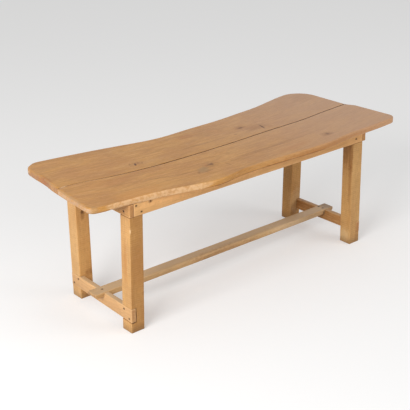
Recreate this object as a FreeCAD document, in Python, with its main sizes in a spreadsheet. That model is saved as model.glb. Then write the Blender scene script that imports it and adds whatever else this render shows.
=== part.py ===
import FreeCAD, Part
import os
import Sketcher

# A farmhouse table: two bowed planks on a nailed frame of square legs, aprons, rails and a stretcher.
# X runs along the table, Y from its front to its rear, Z up from the floor.
# The origin is on the floor, under the middle of the top's outline.

doc = FreeCAD.newDocument("farmhouse_table")
sheet = doc.addObject("Spreadsheet::Sheet", "Sizes")

# Driving dimensions, in millimetres
sizes = {
    # The whole table and its top
    "table_height": 760,
    "top_length": 2230,
    "top_width": 850,
    "top_thickness": 34,
    "seam_gap": 4,
    "corner_front_left": 45,
    "corner_front_right": 55,
    "corner_rear_left": 90,
    "corner_rear_right": 140,
    "corner_shoulder": 70,
    "top_arris": 6,
    "under_arris": 4,
    # How far the top's plan reaches beyond the legs on each side
    "overhang_left": 222,
    "overhang_right": 274,
    "overhang_front": 89,
    "overhang_rear": 189,
    # Legs: section, worn corners, and how far each foot stands from under its top
    "leg_width": 84,
    "leg_depth": 80,
    "leg_arris": 3,
    "drift_front_left_x": -9,
    "drift_front_left_y": 4,
    "drift_front_right_x": 8,
    "drift_front_right_y": -8,
    "drift_rear_left_x": 8,
    "drift_rear_left_y": 1,
    "drift_rear_right_x": -4,
    "drift_rear_right_y": 4,
    # Rails under the top: the left end rail is let into the legs, the right one stands outside them
    "apron_height": 70,
    "apron_thickness": 27,
    "apron_proud": 2,
    "end_rail_thickness": 29,
    "end_rail_left_proud": 2,
    "end_rail_right_proud": 25,
    # Cross bearer under the seam
    "bearer_width": 60,
    "bearer_height": 45,
    # Foot rails: the left one tapers to the rear, the right one is shallower
    "foot_rail_thickness": 31,
    "foot_rail_left_bottom_front": 62,
    "foot_rail_left_bottom_rear": 67,
    "foot_rail_left_height_front": 79,
    "foot_rail_left_height_rear": 71,
    "foot_rail_right_bottom_front": 67,
    "foot_rail_right_bottom_rear": 65,
    "foot_rail_right_height_front": 67,
    "foot_rail_right_height_rear": 69,
    "foot_rail_proud": 1.5,
    "foot_rail_end_proud": 1,
    # Long stretcher, which falls a little to the right, and the tongues at its ends
    "stretcher_width": 74,
    "stretcher_height": 33,
    "stretcher_top_left": 143,
    "stretcher_top_right": 137,
    "stretcher_shift_y": 3,
    "tongue_thickness": 26,
    "tongue_reach_left": 58,
    "tongue_reach_right": 46,
    "tongue_bevel": 10,
    "shoulder_gap": 1.5,
    # Iron nails
    "nail_shank": 4.6,
    "nail_head": 10,
    "nail_head_height": 2.4,
    "nail_head_rim": 0.8,
    "nail_point": 9,
    "nail_sink": 1,
    "apron_nail_length": 58,
    "end_rail_nail_length": 60,
    "foot_rail_nail_length": 62,
    "tongue_nail_length": 50,
    "top_nail_length": 38,
    "bearer_end_nail_length": 60,
    "bearer_top_nail_length": 64,
    # Pockets in the aprons for the nails that slant up into the planks
    "pocket_width": 10,
    "pocket_depth": 9,
    "pocket_drop": 16,
    "tool_overrun": 20,
}

for row, (name, length) in enumerate(sizes.items(), start=1):
    sheet.set(f"A{row}", name)
    sheet.set(f"B{row}", str(length))
    sheet.setAlias(f"B{row}", name)
doc.recompute()

# Plan of the planks: shares of the top's length from its left end, and of its width from its front
front_edge_shares = [
    (0.000, 0.125), (0.070, 0.105), (0.140, 0.095), (0.200, 0.072), (0.270, 0.022), (0.340, -0.022),
    (0.410, 0.034), (0.520, 0.026), (0.620, 0.012), (0.720, 0.005), (0.810, 0.060), (0.910, 0.045),
    (1.000, 0.076),
]
seam_shares = [
    (0.014, 0.518), (0.060, 0.525), (0.130, 0.478), (0.230, 0.432), (0.400, 0.426), (0.550, 0.437),
    (0.700, 0.463), (0.790, 0.455), (0.880, 0.500), (0.977, 0.515),
]
rear_edge_shares = [
    (0.033, 0.999), (0.120, 0.968), (0.220, 0.926), (0.310, 0.874), (0.400, 0.822), (0.500, 0.851),
    (0.600, 0.846), (0.690, 0.880), (0.780, 0.895), (0.880, 0.980), (0.972, 0.992),
]
front_shoulder_share = (0.991, 0.447)

# Where the origin lies under that plan
origin_along_share = 0.5002
origin_across_share = 0.4898

# Nails in the legs: shares of the leg's section from its outer corner, and of the rail's height
apron_nail_shares = {
    "front_left": [(0.49, 0.83), (0.87, 0.27)],
    "front_right": [(0.71, 0.41), (0.40, 0.85)],
    "rear_left": [(0.49, 0.83), (0.87, 0.27)],
    "rear_right": [(0.49, 0.83), (0.87, 0.27)],
}
end_rail_nail_shares = {"left": [(0.59, 0.36)], "right": [(0.50, 0.60), (0.78, 0.18)]}
foot_rail_nail_shares = [(0.26, 0.24), (0.82, 0.77)]

# Nails in the tongues: shares of the foot rail's thickness and of the stretcher's width
tongue_nail_shares = {"left": [(0.45, 0.52)], "right": [(0.70, 0.34), (0.70, 0.80)]}

# Slanting nails along the aprons, and nails along the bearer: shares of the frame's length and width
top_nail_shares = [0.0755, 0.40, 0.90]
bearer_top_nail_shares = [0.36, 0.62]

# A point of an outline is found again within this share of the seam's gap
snap_share = 0.1

sides = {"left": -1, "right": 1}
rows = {"front": -1, "rear": 1}

# Directions that nails are driven in: to the inside of the frame, down, up, and slanting up
inward_x = {side: FreeCAD.Vector(-sign, 0, 0) for side, sign in sides.items()}
inward_y = {row: FreeCAD.Vector(0, -sign, 0) for row, sign in rows.items()}
downward = FreeCAD.Vector(0, 0, -1)
upward = FreeCAD.Vector(0, 0, 1)
slant_degrees = 50

# Places that several pieces share, written as expressions on the sheet
plan_left = f"(-{origin_along_share} * Sizes.top_length)"
plan_front = f"(-{origin_across_share} * Sizes.top_width)"
underside = "(Sizes.table_height - Sizes.top_thickness)"
apron_bottom = f"({underside} - Sizes.apron_height)"
bearer_bottom = f"({underside} - Sizes.bearer_height)"


def outer_x(side):
    """Outer end face of the legs' tops at one end of the frame."""
    plan_x = {"left": "Sizes.overhang_left", "right": "Sizes.top_length - Sizes.overhang_right"}[side]
    return f"({plan_left} + {plan_x})"


def outer_y(row):
    """Outer long face of the legs' tops at the front or rear of the frame."""
    plan_y = {"front": "Sizes.overhang_front", "rear": "Sizes.top_width - Sizes.overhang_rear"}[row]
    return f"({plan_front} + {plan_y})"


def frame_x(share):
    """Place along the leg frame, as a share of its length from the left."""
    return f"({outer_x('left')} + {share} * ({outer_x('right')} - {outer_x('left')}))"


def frame_y(share):
    """Place across the leg frame, as a share of its width from the front."""
    return f"({outer_y('front')} + {share} * ({outer_y('rear')} - {outer_y('front')}))"


def apron_face_y(row):
    """Outer face of an apron."""
    return f"({outer_y(row)} + {rows[row]} * Sizes.apron_proud)"


def end_rail_face_x(side):
    """Outer face of a rail under one end of the top."""
    return f"({outer_x(side)} + {sides[side]} * Sizes.end_rail_{side}_proud)"


def end_rail_inner_x(side):
    """Inner face of a rail under one end of the top, which the aprons butt against."""
    return f"({end_rail_face_x(side)} - {sides[side]} * Sizes.end_rail_thickness)"


frame_middle_x = frame_x(0.5)
stretcher_y = f"({frame_y(0.5)} + Sizes.stretcher_shift_y)"


def low_drift(row, side, axis):
    """How far a leg stands aside at the middle of its foot rail's height."""
    bottom, height = (f"Sizes.foot_rail_{side}_{size}_{row}" for size in ("bottom", "height"))
    return f"Sizes.drift_{row}_{side}_{axis} * (1 - ({bottom} + {height} / 2) / {underside})"


def low_leg_y(row, side):
    """Outer long face of a leg at its foot rail."""
    return f"({outer_y(row)} + {low_drift(row, side, 'y')})"


def foot_rail_x(row, side):
    """Outer face of a foot rail at the leg that it crosses."""
    return f"({outer_x(side)} + {low_drift(row, side, 'x')} + {sides[side]} * Sizes.foot_rail_proud)"


def foot_rail_y(row, side):
    """End of a foot rail, just proud of the leg that it crosses."""
    return f"({low_leg_y(row, side)} + {rows[row]} * Sizes.foot_rail_end_proud)"


def foot_rail_face_x(side, y):
    """Outer face of a foot rail at any place along it."""
    front, rear = (foot_rail_x(row, side) for row in rows)
    start, end = (foot_rail_y(row, side) for row in rows)
    return f"({front} + ({rear} - {front}) * ({y} - {start}) / ({end} - {start}))"


def shoulder_x(side):
    """Shoulder of the stretcher, clear of the foot rail's inner face across its whole width."""
    edges = [f"{stretcher_y} + {sign} * Sizes.stretcher_width / 2" for sign in rows.values()]
    faces = [foot_rail_face_x(side, f"({edge})") for edge in edges]
    nearest = f"{'max' if side == 'left' else 'min'}({faces[0]}; {faces[1]})"
    return f"({nearest} - {sides[side]} * (Sizes.foot_rail_thickness + Sizes.shoulder_gap))"


def tongue_x(side):
    """End of a tongue, beyond the outer face of the foot rail that it crosses."""
    return f"({foot_rail_face_x(side, stretcher_y)} + {sides[side]} * Sizes.tongue_reach_{side})"


def number(expression):
    """Value of an expression on the sheet."""
    return float(sheet.evalExpression(expression))


def bind(item, **expressions):
    """Ties an object's properties to the sheet."""
    for name, expression in expressions.items():
        item.setExpression(name, expression)
    return item


def place(item, x, y, z, turn=FreeCAD.Rotation()):
    """Turns an object and ties its place to the sheet."""
    item.Placement = FreeCAD.Placement(FreeCAD.Vector(), turn)
    for axis, expression in zip("xyz", (x, y, z)):
        item.setExpression(f"Placement.Base.{axis}", expression)
    return item


def new_sketch(body, name, role):
    """Sketch on one of the body's own planes."""
    sketch = body.newObject("Sketcher::SketchObject", name)
    plane = [item for item in body.Origin.OriginFeatures if item.Role == role][0]
    sketch.AttachmentSupport = [(plane, "")]
    sketch.MapMode = "FlatFace"
    return sketch


def hold_point(sketch, name, geometry, vertex, spot):
    """Holds a point of a sketch at a spot given by two expressions."""
    for kind, axis, expression in zip(("DistanceX", "DistanceY"), "xy", spot):
        held = Sketcher.Constraint(kind, -1, 1, geometry, vertex, number(expression))
        sketch.renameConstraint(sketch.addConstraint(held), f"{name}_{axis}")
        sketch.setExpression(f"Constraints.{name}_{axis}", expression)


def sketch_point(spot):
    """Point of a sketch at a spot given by two expressions."""
    return FreeCAD.Vector(*(number(expression) for expression in spot))


def add_polygon(sketch, corners):
    """Closed outline of straight edges through the given spots."""
    points = [sketch_point(corner) for corner in corners]
    following = points[1:] + points[:1]
    edges = [sketch.addGeometry(Part.LineSegment(*pair)) for pair in zip(points, following)]
    for index, edge in enumerate(edges):
        sketch.addConstraint(Sketcher.Constraint("Coincident", edges[index - 1], 2, edge, 1))
        hold_point(sketch, f"corner_{index}", edge, 1, corners[index])


def plan_spot(share, across="0"):
    """Spot of the top's plan at a pair of shares, moved across by an expression."""
    along_share, across_share = share
    return f"{along_share} * Sizes.top_length", f"{across_share} * Sizes.top_width + {across}"


def add_curve(sketch, name, spots):
    """Smooth edge of a plank, led by poles that are held at the given spots."""
    poles = [sketch_point(spot) for spot in spots]
    spans = len(poles) - 3
    knots = [span / spans for span in range(spans + 1)]
    curve = Part.BSplineCurve()
    curve.buildFromPolesMultsKnots(poles, [4] + [1] * (spans - 1) + [4], knots, False, 3)
    edge = sketch.addGeometry(curve)
    marks = [sketch.addGeometry(Part.Circle(pole, upward, 1), True) for pole in poles]
    sketch.addConstraint(Sketcher.Constraint("Weight", marks[0], 1))
    for index, mark in enumerate(marks):
        if index > 0:
            sketch.addConstraint(Sketcher.Constraint("Equal", marks[0], mark))
        aligned = "InternalAlignment:Sketcher::BSplineControlPoint"
        sketch.addConstraint(Sketcher.Constraint(aligned, mark, 3, edge, index))
        hold_point(sketch, f"{name}_{index}", mark, 3, spots[index])
    return edge


def add_end(sketch, spots, outer, inner, vertex):
    """Straight edges across a plank's end, joined to one end of its outer and inner curves."""
    points = [sketch_point(spot) for spot in spots]
    edges = [sketch.addGeometry(Part.LineSegment(*pair)) for pair in zip(points, points[1:])]
    sketch.addConstraint(Sketcher.Constraint("Coincident", outer, vertex, edges[0], 1))
    sketch.addConstraint(Sketcher.Constraint("Coincident", edges[-1], 2, inner, vertex))
    for edge, following, spot in zip(edges, edges[1:], spots[1:]):
        sketch.addConstraint(Sketcher.Constraint("Coincident", edge, 2, following, 1))
        hold_point(sketch, "shoulder", following, 1, spot)


def is_near(vertex, spot):
    """Whether a corner of a plank stands on a spot of its plan."""
    flat = FreeCAD.Vector(vertex.X, vertex.Y, 0)
    return flat.distanceToPoint(sketch_point(spot)) < snap_share * number("Sizes.seam_gap")


def round_edges(body, base, test, radius):
    """Rounds the edges of a body that pass a test by a size on the sheet."""
    edges = [f"Edge{index}" for index, edge in enumerate(base.Shape.Edges, start=1) if test(edge)]
    fillet = body.newObject("PartDesign::Fillet", f"{body.Name}_{radius.split('.')[-1]}")
    fillet.Base = (base, edges)
    bind(fillet, Radius=radius)
    doc.recompute()
    return fillet


def make_plank(row):
    """One of the two bowed planks, with rounded corners and worn outer arrises."""
    body = doc.addObject("PartDesign::Body", f"plank_{row}")
    sketch = new_sketch(body, f"plan_{row}", "XY_Plane")
    outer_shares = {"front": front_edge_shares, "rear": rear_edge_shares}[row]
    outer_spots = [plan_spot(share) for share in outer_shares]
    seam_spots = [plan_spot(share, f"{rows[row]} * Sizes.seam_gap / 2") for share in seam_shares]
    shoulder_spots = {"front": [plan_spot(front_shoulder_share)], "rear": []}[row]
    outer = add_curve(sketch, "outer", outer_spots)
    inner = add_curve(sketch, "seam", seam_spots)
    add_end(sketch, [outer_spots[0], seam_spots[0]], outer, inner, 1)
    add_end(sketch, [outer_spots[-1], *shoulder_spots, seam_spots[-1]], outer, inner, 2)
    plank = bind(body.newObject("PartDesign::Pad", f"pad_{row}"), Length="Sizes.top_thickness")
    plank.Profile = sketch
    doc.recompute()

    corners = {f"Sizes.corner_{row}_left": outer_spots[0], f"Sizes.corner_{row}_right": outer_spots[-1]}
    corners.update({"Sizes.corner_shoulder": spot for spot in shoulder_spots})
    for radius, spot in corners.items():
        stands_on_spot = lambda edge: all(is_near(end, spot) for end in edge.Vertexes)
        plank = round_edges(body, plank, stands_on_spot, radius)

    def worn_at(level):
        """Test for the outer edges at the top or bottom face, which leaves out the seam's."""
        height = number(level)
        reach = snap_share * number("Sizes.seam_gap")

        def test(edge):
            level_edge = max(abs(end.Z - height) for end in edge.Vertexes) < reach
            seam_ends = [spot for spot in (seam_spots[0], seam_spots[-1])
                         if any(is_near(end, spot) for end in edge.Vertexes)]
            return level_edge and len(seam_ends) < 2

        return test

    plank = round_edges(body, plank, worn_at("Sizes.top_thickness"), "Sizes.top_arris")
    round_edges(body, plank, worn_at("0"), "Sizes.under_arris")
    return place(body, plan_left, plan_front, underside)


def make_leg(row, side):
    """Square leg between its top and its foot, which stands a little aside, with worn long edges."""
    body = doc.addObject("PartDesign::Body", f"post_{row}_{side}")
    post = body.newObject("PartDesign::AdditiveWedge", f"wedge_{row}_{side}")
    top_x = f"{outer_x(side)} - ({sides[side]} + 1) * Sizes.leg_width / 2"
    top_y = f"{outer_y(row)} - ({rows[row]} + 1) * Sizes.leg_depth / 2"
    foot_x = f"{top_x} + Sizes.drift_{row}_{side}_x"
    foot_y = f"{top_y} + Sizes.drift_{row}_{side}_y"
    bind(post, Ymin="0", Ymax=underside)
    bind(post, Xmin=foot_x, Xmax=f"{foot_x} + Sizes.leg_width")
    bind(post, X2min=top_x, X2max=f"{top_x} + Sizes.leg_width")
    bind(post, Zmin=f"-({foot_y} + Sizes.leg_depth)", Zmax=f"-({foot_y})")
    bind(post, Z2min=f"-({top_y} + Sizes.leg_depth)", Z2max=f"-({top_y})")
    post.Placement = FreeCAD.Placement(FreeCAD.Vector(), FreeCAD.Rotation(FreeCAD.Vector(1, 0, 0), 90))
    doc.recompute()
    half_height = number(underside) / 2
    round_edges(body, post, lambda edge: edge.Length > half_height, "Sizes.leg_arris")
    return body


def make_bar(name, x, y, z):
    """Straight squared timber between pairs of places along X, Y and Z."""
    bar = doc.addObject("Part::Box", name)
    for size, (start, end) in zip(("Length", "Width", "Height"), (x, y, z)):
        bind(bar, **{size: f"{end} - {start}"})
    return place(bar, x[0], y[0], z[0])


def make_foot_rail(side):
    """Low rail across two legs, skewed with them and tapering to the rear."""
    rail = doc.addObject("Part::Wedge", f"foot_bar_{side}")
    bind(rail, Ymin=foot_rail_y("front", side), Ymax=foot_rail_y("rear", side))
    for row, second in (("front", ""), ("rear", "2")):
        low_x = f"{foot_rail_x(row, side)} - ({sides[side]} + 1) * Sizes.foot_rail_thickness / 2"
        low_z = f"Sizes.foot_rail_{side}_bottom_{row}"
        high_x = f"{low_x} + Sizes.foot_rail_thickness"
        high_z = f"{low_z} + Sizes.foot_rail_{side}_height_{row}"
        bind(rail, **{f"X{second}min": low_x, f"X{second}max": high_x})
        bind(rail, **{f"Z{second}min": low_z, f"Z{second}max": high_z})
    return rail


def make_stretcher():
    """Long bar that lies a little aslant, with a thinner tongue at each end."""
    body = doc.addObject("PartDesign::Body", "stretcher_bar")
    sketch = new_sketch(body, "stretcher_profile", "XZ_Plane")
    outline = []
    for side in sides:
        top = f"Sizes.stretcher_top_{side}"
        tongue_bottom = f"{top} - Sizes.tongue_thickness"
        end = [
            (tongue_x(side), top),
            (tongue_x(side), f"{tongue_bottom} + Sizes.tongue_bevel"),
            (f"{tongue_x(side)} - {sides[side]} * Sizes.tongue_bevel", tongue_bottom),
            (shoulder_x(side), tongue_bottom),
            (shoulder_x(side), f"{top} - Sizes.stretcher_height"),
        ]
        outline += end[::-sides[side]]
    add_polygon(sketch, outline)
    pad = bind(body.newObject("PartDesign::Pad", "stretcher_pad"), Length="Sizes.stretcher_width")
    pad.Profile = sketch
    pad.SideType = "Symmetric"
    return place(body, "0", stretcher_y, "0")


def make_nail(name):
    """Nail with a low pyramid head, its shank along -Z from under the head."""
    body = doc.addObject("PartDesign::Body", name)
    sketch = new_sketch(body, f"{name}_half", "XZ_Plane")
    add_polygon(sketch, [
        ("0", "Sizes.nail_head_height"),
        ("Sizes.nail_head / 2", "Sizes.nail_head_rim"),
        ("Sizes.nail_head / 2", "0"),
        ("Sizes.nail_shank / 2", "0"),
        ("Sizes.nail_shank / 2", f"Sizes.nail_point - Sizes.{name}_length"),
        ("0", f"-Sizes.{name}_length"),
    ])
    turned = body.newObject("PartDesign::Revolution", f"{name}_turned")
    turned.Profile = sketch
    turned.ReferenceAxis = (sketch, ["V_Axis"])
    turned.Angle = 360
    return body


def make_nails(name, pattern, direction, spots, sink="Sizes.nail_sink"):
    """Group of like nails, driven in one direction from spots on a face until their heads sink in."""
    nails = []
    for index, spot in enumerate(spots, start=1):
        nail = doc.addObject("App::Link", f"{name}_{index}")
        nail.LinkedObject = pattern
        sunk = [f"{start} + {step} * {sink}" for start, step in zip(spot, direction)]
        nails.append(place(nail, *sunk, FreeCAD.Rotation(downward, direction)))
    group = doc.addObject("Part::Compound", name)
    group.Links = nails
    return group


def make_pockets(name, direction, spots):
    """Round pockets in an apron's face, along the slanting nails that are sunk in them."""
    pockets = []
    for index, spot in enumerate(spots, start=1):
        pocket = doc.addObject("Part::Cylinder", f"{name}_{index}")
        bind(pocket, Radius="Sizes.pocket_width / 2", Height="Sizes.pocket_depth + Sizes.tool_overrun")
        floor = [f"{start} + {step} * Sizes.pocket_depth" for start, step in zip(spot, direction)]
        pockets.append(place(pocket, *floor, FreeCAD.Rotation(upward, -direction)))
    group = doc.addObject("Part::Compound", name)
    group.Links = pockets
    return group


nodes = {}


def keep(name, piece, *cutters):
    """Makes a piece a node of the table, cut to fit the pieces that it meets."""
    if cutters:
        cutter = cutters[0]
        if len(cutters) > 1:
            cutter = doc.addObject("Part::MultiFuse", f"{name}_cutter")
            cutter.Shapes = list(cutters)
        cut = doc.addObject("Part::Cut", f"{name}_cut")
        cut.Base = piece
        cut.Tool = cutter
        piece = cut
    piece.Label = name
    nodes[name] = piece


# Timbers before they are cut to fit each other
planks = {row: make_plank(row) for row in rows}
legs = {(row, side): make_leg(row, side) for row in rows for side in sides}
apron_ends = (end_rail_inner_x("left"), end_rail_inner_x("right"))
apron_inner_y = {row: f"({apron_face_y(row)} - {sign} * Sizes.apron_thickness)" for row, sign in rows.items()}
apron_spans = {"front": (apron_face_y("front"), apron_inner_y["front"]),
               "rear": (apron_inner_y["rear"], apron_face_y("rear"))}
aprons = {row: make_bar(f"apron_bar_{row}", apron_ends, apron_spans[row], (apron_bottom, underside))
          for row in rows}
end_rail_spans = {"left": (end_rail_face_x("left"), end_rail_inner_x("left")),
                  "right": (end_rail_inner_x("right"), end_rail_face_x("right"))}
end_rail_ends = (apron_face_y("front"), apron_face_y("rear"))
end_rails = {side: make_bar(f"end_bar_{side}", end_rail_spans[side], end_rail_ends, (apron_bottom, underside))
             for side in sides}
foot_rails = {side: make_foot_rail(side) for side in sides}
stretcher = make_stretcher()
bearer_sides = tuple(f"({frame_middle_x} + {sign} * Sizes.bearer_width / 2)" for sign in sides.values())
bearer = make_bar("bearer_bar", bearer_sides, (apron_inner_y["front"], apron_inner_y["rear"]),
                  (bearer_bottom, underside))

# Nails that hold the aprons to the legs
apron_nail = make_nail("apron_nail")
apron_nails = {}
for row in rows:
    spots = []
    for side in sides:
        for across_share, up_share in apron_nail_shares[f"{row}_{side}"]:
            x = f"{outer_x(side)} - {sides[side]} * {across_share} * Sizes.leg_width"
            spots.append((x, apron_face_y(row), f"{apron_bottom} + {up_share} * Sizes.apron_height"))
    apron_nails[row] = make_nails(f"apron_nails_{row}", apron_nail, inward_y[row], spots)

# Nails that hold the end rails and the foot rails to the legs
end_rail_nail = make_nail("end_rail_nail")
foot_rail_nail = make_nail("foot_rail_nail")
end_rail_nails = {}
foot_rail_nails = {}
for side in sides:
    high_spots = []
    low_spots = []
    for row in rows:
        for across_share, up_share in end_rail_nail_shares[side]:
            y = f"{outer_y(row)} - {rows[row]} * {across_share} * Sizes.leg_depth"
            z = f"{apron_bottom} + {up_share} * Sizes.apron_height"
            high_spots.append((end_rail_face_x(side), y, z))
        for across_share, up_share in foot_rail_nail_shares:
            y = f"({low_leg_y(row, side)} - {rows[row]} * {across_share} * Sizes.leg_depth)"
            z = f"Sizes.foot_rail_{side}_bottom_{row} + {up_share} * Sizes.foot_rail_{side}_height_{row}"
            low_spots.append((foot_rail_face_x(side, y), y, z))
    end_rail_nails[side] = make_nails(f"end_rail_nails_{side}", end_rail_nail, inward_x[side], high_spots)
    foot_rail_nails[side] = make_nails(f"foot_rail_nails_{side}", foot_rail_nail, inward_x[side], low_spots)

# Nails driven down through the tongues into the foot rails
tongue_nail = make_nail("tongue_nail")
tongue_nails = {}
for side in sides:
    spots = []
    for along_share, across_share in tongue_nail_shares[side]:
        y = f"({stretcher_y} + ({across_share} - 0.5) * Sizes.stretcher_width)"
        x = f"{foot_rail_face_x(side, y)} - {sides[side]} * {along_share} * Sizes.foot_rail_thickness"
        spots.append((x, y, f"Sizes.stretcher_top_{side}"))
    tongue_nails[side] = make_nails(f"tongue_nails_{side}", tongue_nail, downward, spots)

# Nails that slant up through the aprons into the planks, each sunk in a pocket
top_nail = make_nail("top_nail")
top_nails = {}
pockets = {}
for row in rows:
    slant = FreeCAD.Rotation(inward_y[row].cross(upward), slant_degrees).multVec(inward_y[row])
    spots = []
    for along_share in top_nail_shares:
        spots.append((frame_x(along_share), apron_face_y(row), f"{underside} - Sizes.pocket_drop"))
    pockets[row] = make_pockets(f"pockets_{row}", slant, spots)
    top_nails[row] = make_nails(f"top_nails_{row}", top_nail, slant, spots, "Sizes.pocket_depth")

# Nails at the bearer's ends, and nails from the bearer up into both planks
bearer_end_nail = make_nail("bearer_end_nail")
bearer_top_nail = make_nail("bearer_top_nail")
bearer_end_nails = {}
for row in rows:
    spot = (frame_middle_x, apron_face_y(row), f"{underside} - Sizes.bearer_height / 2")
    bearer_end_nails[row] = make_nails(f"bearer_end_nail_{row}", bearer_end_nail, inward_y[row], [spot])
bearer_top_spots = [(frame_middle_x, frame_y(share), bearer_bottom) for share in bearer_top_nail_shares]
bearer_top_nails = make_nails("bearer_top_nails", bearer_top_nail, upward, bearer_top_spots)

# Every piece of the table, cut to fit its neighbours
for row in rows:
    keep(f"top_plank_{row}", planks[row], top_nails[row], bearer_top_nails)
    keep(f"apron_{row}", aprons[row], apron_nails[row], top_nails[row], pockets[row], bearer_end_nails[row])
    keep(f"apron_nails_{row}", apron_nails[row])
    keep(f"top_nails_{row}", top_nails[row])
    keep(f"bearer_end_nail_{row}", bearer_end_nails[row])
for side in sides:
    keep(f"end_rail_{side}", end_rails[side], end_rail_nails[side])
    keep(f"foot_rail_{side}", foot_rails[side], stretcher, foot_rail_nails[side], tongue_nails[side])
    keep(f"end_rail_nails_{side}", end_rail_nails[side])
    keep(f"foot_rail_nails_{side}", foot_rail_nails[side])
    keep(f"tongue_nails_{side}", tongue_nails[side])
for (row, side), leg in legs.items():
    keep(f"leg_{row}_{side}", leg, aprons[row], end_rails[side], foot_rails[side],
         apron_nails[row], end_rail_nails[side], foot_rail_nails[side])
keep("long_stretcher", stretcher, *tongue_nails.values())
keep("cross_bearer", bearer, *bearer_end_nails.values(), bearer_top_nails)
keep("bearer_top_nails", bearer_top_nails)
doc.recompute()

# Nothing is written unless every object is sound
failed = [item.Name for item in doc.Objects if {"Invalid", "Error"} & set(item.State)]
failed += [name for name, item in nodes.items() if item.Shape.isNull() or not item.Shape.isValid()]
if failed:
    raise RuntimeError("these pieces failed: " + ", ".join(failed))

os.makedirs("parts", exist_ok=True)
for name, item in nodes.items():
    item.Shape.exportStep(f"parts/{name}.step")
    box = item.Shape.BoundBox
    corners = [round(value, 1) for value in (box.XMin, box.YMin, box.ZMin, box.XMax, box.YMax, box.ZMax)]
    print(name, len(item.Shape.Solids), round(item.Shape.Volume), corners)
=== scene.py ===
# %% [markdown]
# # A farmhouse table in old pale wood
# The table is two thick bowed planks on a nailed frame: four legs, two aprons, two end rails, two low foot
# rails and one long stretcher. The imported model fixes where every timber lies, to the millimetre.
# Each timber is built again here with worn arrises, uneven faces and a finish that shows grain and knots,
# and it then stands in for the plain solid that it follows. Nothing moves, so every piece rides on one body.

# %% Load the frame
import math
import random

import bmesh
import bpy
import numpy as np
from mathutils import Matrix, Vector, kdtree, noise


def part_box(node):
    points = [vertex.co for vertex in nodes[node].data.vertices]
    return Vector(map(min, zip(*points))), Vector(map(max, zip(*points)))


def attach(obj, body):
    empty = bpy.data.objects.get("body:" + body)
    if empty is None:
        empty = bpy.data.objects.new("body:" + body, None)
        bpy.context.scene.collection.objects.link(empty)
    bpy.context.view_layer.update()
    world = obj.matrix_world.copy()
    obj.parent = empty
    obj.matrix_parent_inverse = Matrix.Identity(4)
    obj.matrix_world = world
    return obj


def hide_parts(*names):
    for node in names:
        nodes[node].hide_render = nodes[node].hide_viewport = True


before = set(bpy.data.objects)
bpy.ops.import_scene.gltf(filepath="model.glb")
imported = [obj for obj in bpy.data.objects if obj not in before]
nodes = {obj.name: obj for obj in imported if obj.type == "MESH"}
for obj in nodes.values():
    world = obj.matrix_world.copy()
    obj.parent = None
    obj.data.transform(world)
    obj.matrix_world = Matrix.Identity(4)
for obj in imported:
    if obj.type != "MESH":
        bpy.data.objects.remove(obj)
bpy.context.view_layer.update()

# %% [markdown]
# ## The camera
# The table was seen from its left front corner, from above eye height and through a long lens.
# A camera can be aimed by a Track To constraint, but the exact view is wanted here. So the three directions
# of the camera are worked out from its heading, its downward tilt and a slight roll, and become its matrix.

# %% Camera
LENS_MM, SENSOR_MM = 88.95, 36.0
FRAME_SHIFT = (-0.0028, 0.0008)
STAND = Vector((-3.5942, -4.0576, 2.6942))
HEADING, TILT, ROLL = (math.radians(angle) for angle in (40.6291, 23.2011, 0.2225))

ahead = Vector((math.sin(HEADING) * math.cos(TILT), math.cos(HEADING) * math.cos(TILT), -math.sin(TILT)))
level = Vector((math.cos(HEADING), -math.sin(HEADING), 0))
below = ahead.cross(level)
side = level * math.cos(ROLL) + below * math.sin(ROLL)
upright = level * math.sin(ROLL) - below * math.cos(ROLL)

scene = bpy.context.scene
lens = bpy.data.cameras.new("table_camera")
lens.lens, lens.sensor_width = LENS_MM, SENSOR_MM
lens.shift_x, lens.shift_y = FRAME_SHIFT
camera = bpy.data.objects.new("table_camera", lens)
camera.matrix_world = Matrix.Translation(STAND) @ Matrix((side, upright, -ahead)).transposed().to_4x4()
scene.collection.objects.link(camera)
scene.camera = camera
print("camera looks along", [round(x, 3) for x in ahead])

# %% [markdown]
# ## Light
# The light comes from the left, wide and soft, low enough to brighten the end of the table more than its top,
# and it fades along the table. A sun lamp would light both ends alike, so a large area lamp stands a few
# metres to the left, as wide as a window. A weaker one to the right of the camera lifts the faces that look
# forwards, and an even white sky fills the shadows.
# Together they add up to about one on a level face, so that a colour renders about as it is written.

# %% Light
TABLE_MIDDLE = Vector((0, 0, 0.5))
SKY_FILL = 0.45


def looked_at(tree):
    """One where it is seen straight on, mirrored or through glass, and nothing where it gives light."""
    rays = tree.nodes.new("ShaderNodeLightPath").outputs
    seen = rays["Is Camera Ray"]
    for kind in ("Is Glossy Ray", "Is Transmission Ray"):
        either = tree.nodes.new("ShaderNodeMath")
        either.operation = "MAXIMUM"
        tree.links.new(seen, either.inputs[0])
        tree.links.new(rays[kind], either.inputs[1])
        seen = either.outputs[0]
    return seen


scene.view_settings.view_transform = "Standard"
sky = bpy.data.worlds.new("studio_sky")
sky.use_nodes = True
scene.world = sky
sky_nodes, sky_links = sky.node_tree.nodes, sky.node_tree.links
lit = sky_nodes.new("ShaderNodeMapRange")
sky_links.new(looked_at(sky.node_tree), lit.inputs["Value"])
lit.inputs["To Min"].default_value = SKY_FILL
sky_nodes["Background"].inputs["Color"].default_value = (1, 1, 1, 1)
sky_links.new(lit.outputs[0], sky_nodes["Background"].inputs["Strength"])


def soft_lamp(name, at, width, height, watts):
    lamp = bpy.data.lights.new(name, "AREA")
    lamp.shape, lamp.size, lamp.size_y, lamp.energy = "RECTANGLE", width, height, watts
    stand = bpy.data.objects.new(name, lamp)
    stand.location = at
    stand.rotation_euler = (at - TABLE_MIDDLE).to_track_quat("Z", "Y").to_euler()
    scene.collection.objects.link(stand)
    print(name, "is", round((at - TABLE_MIDDLE).length, 1), "m from the middle of the table")


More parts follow.
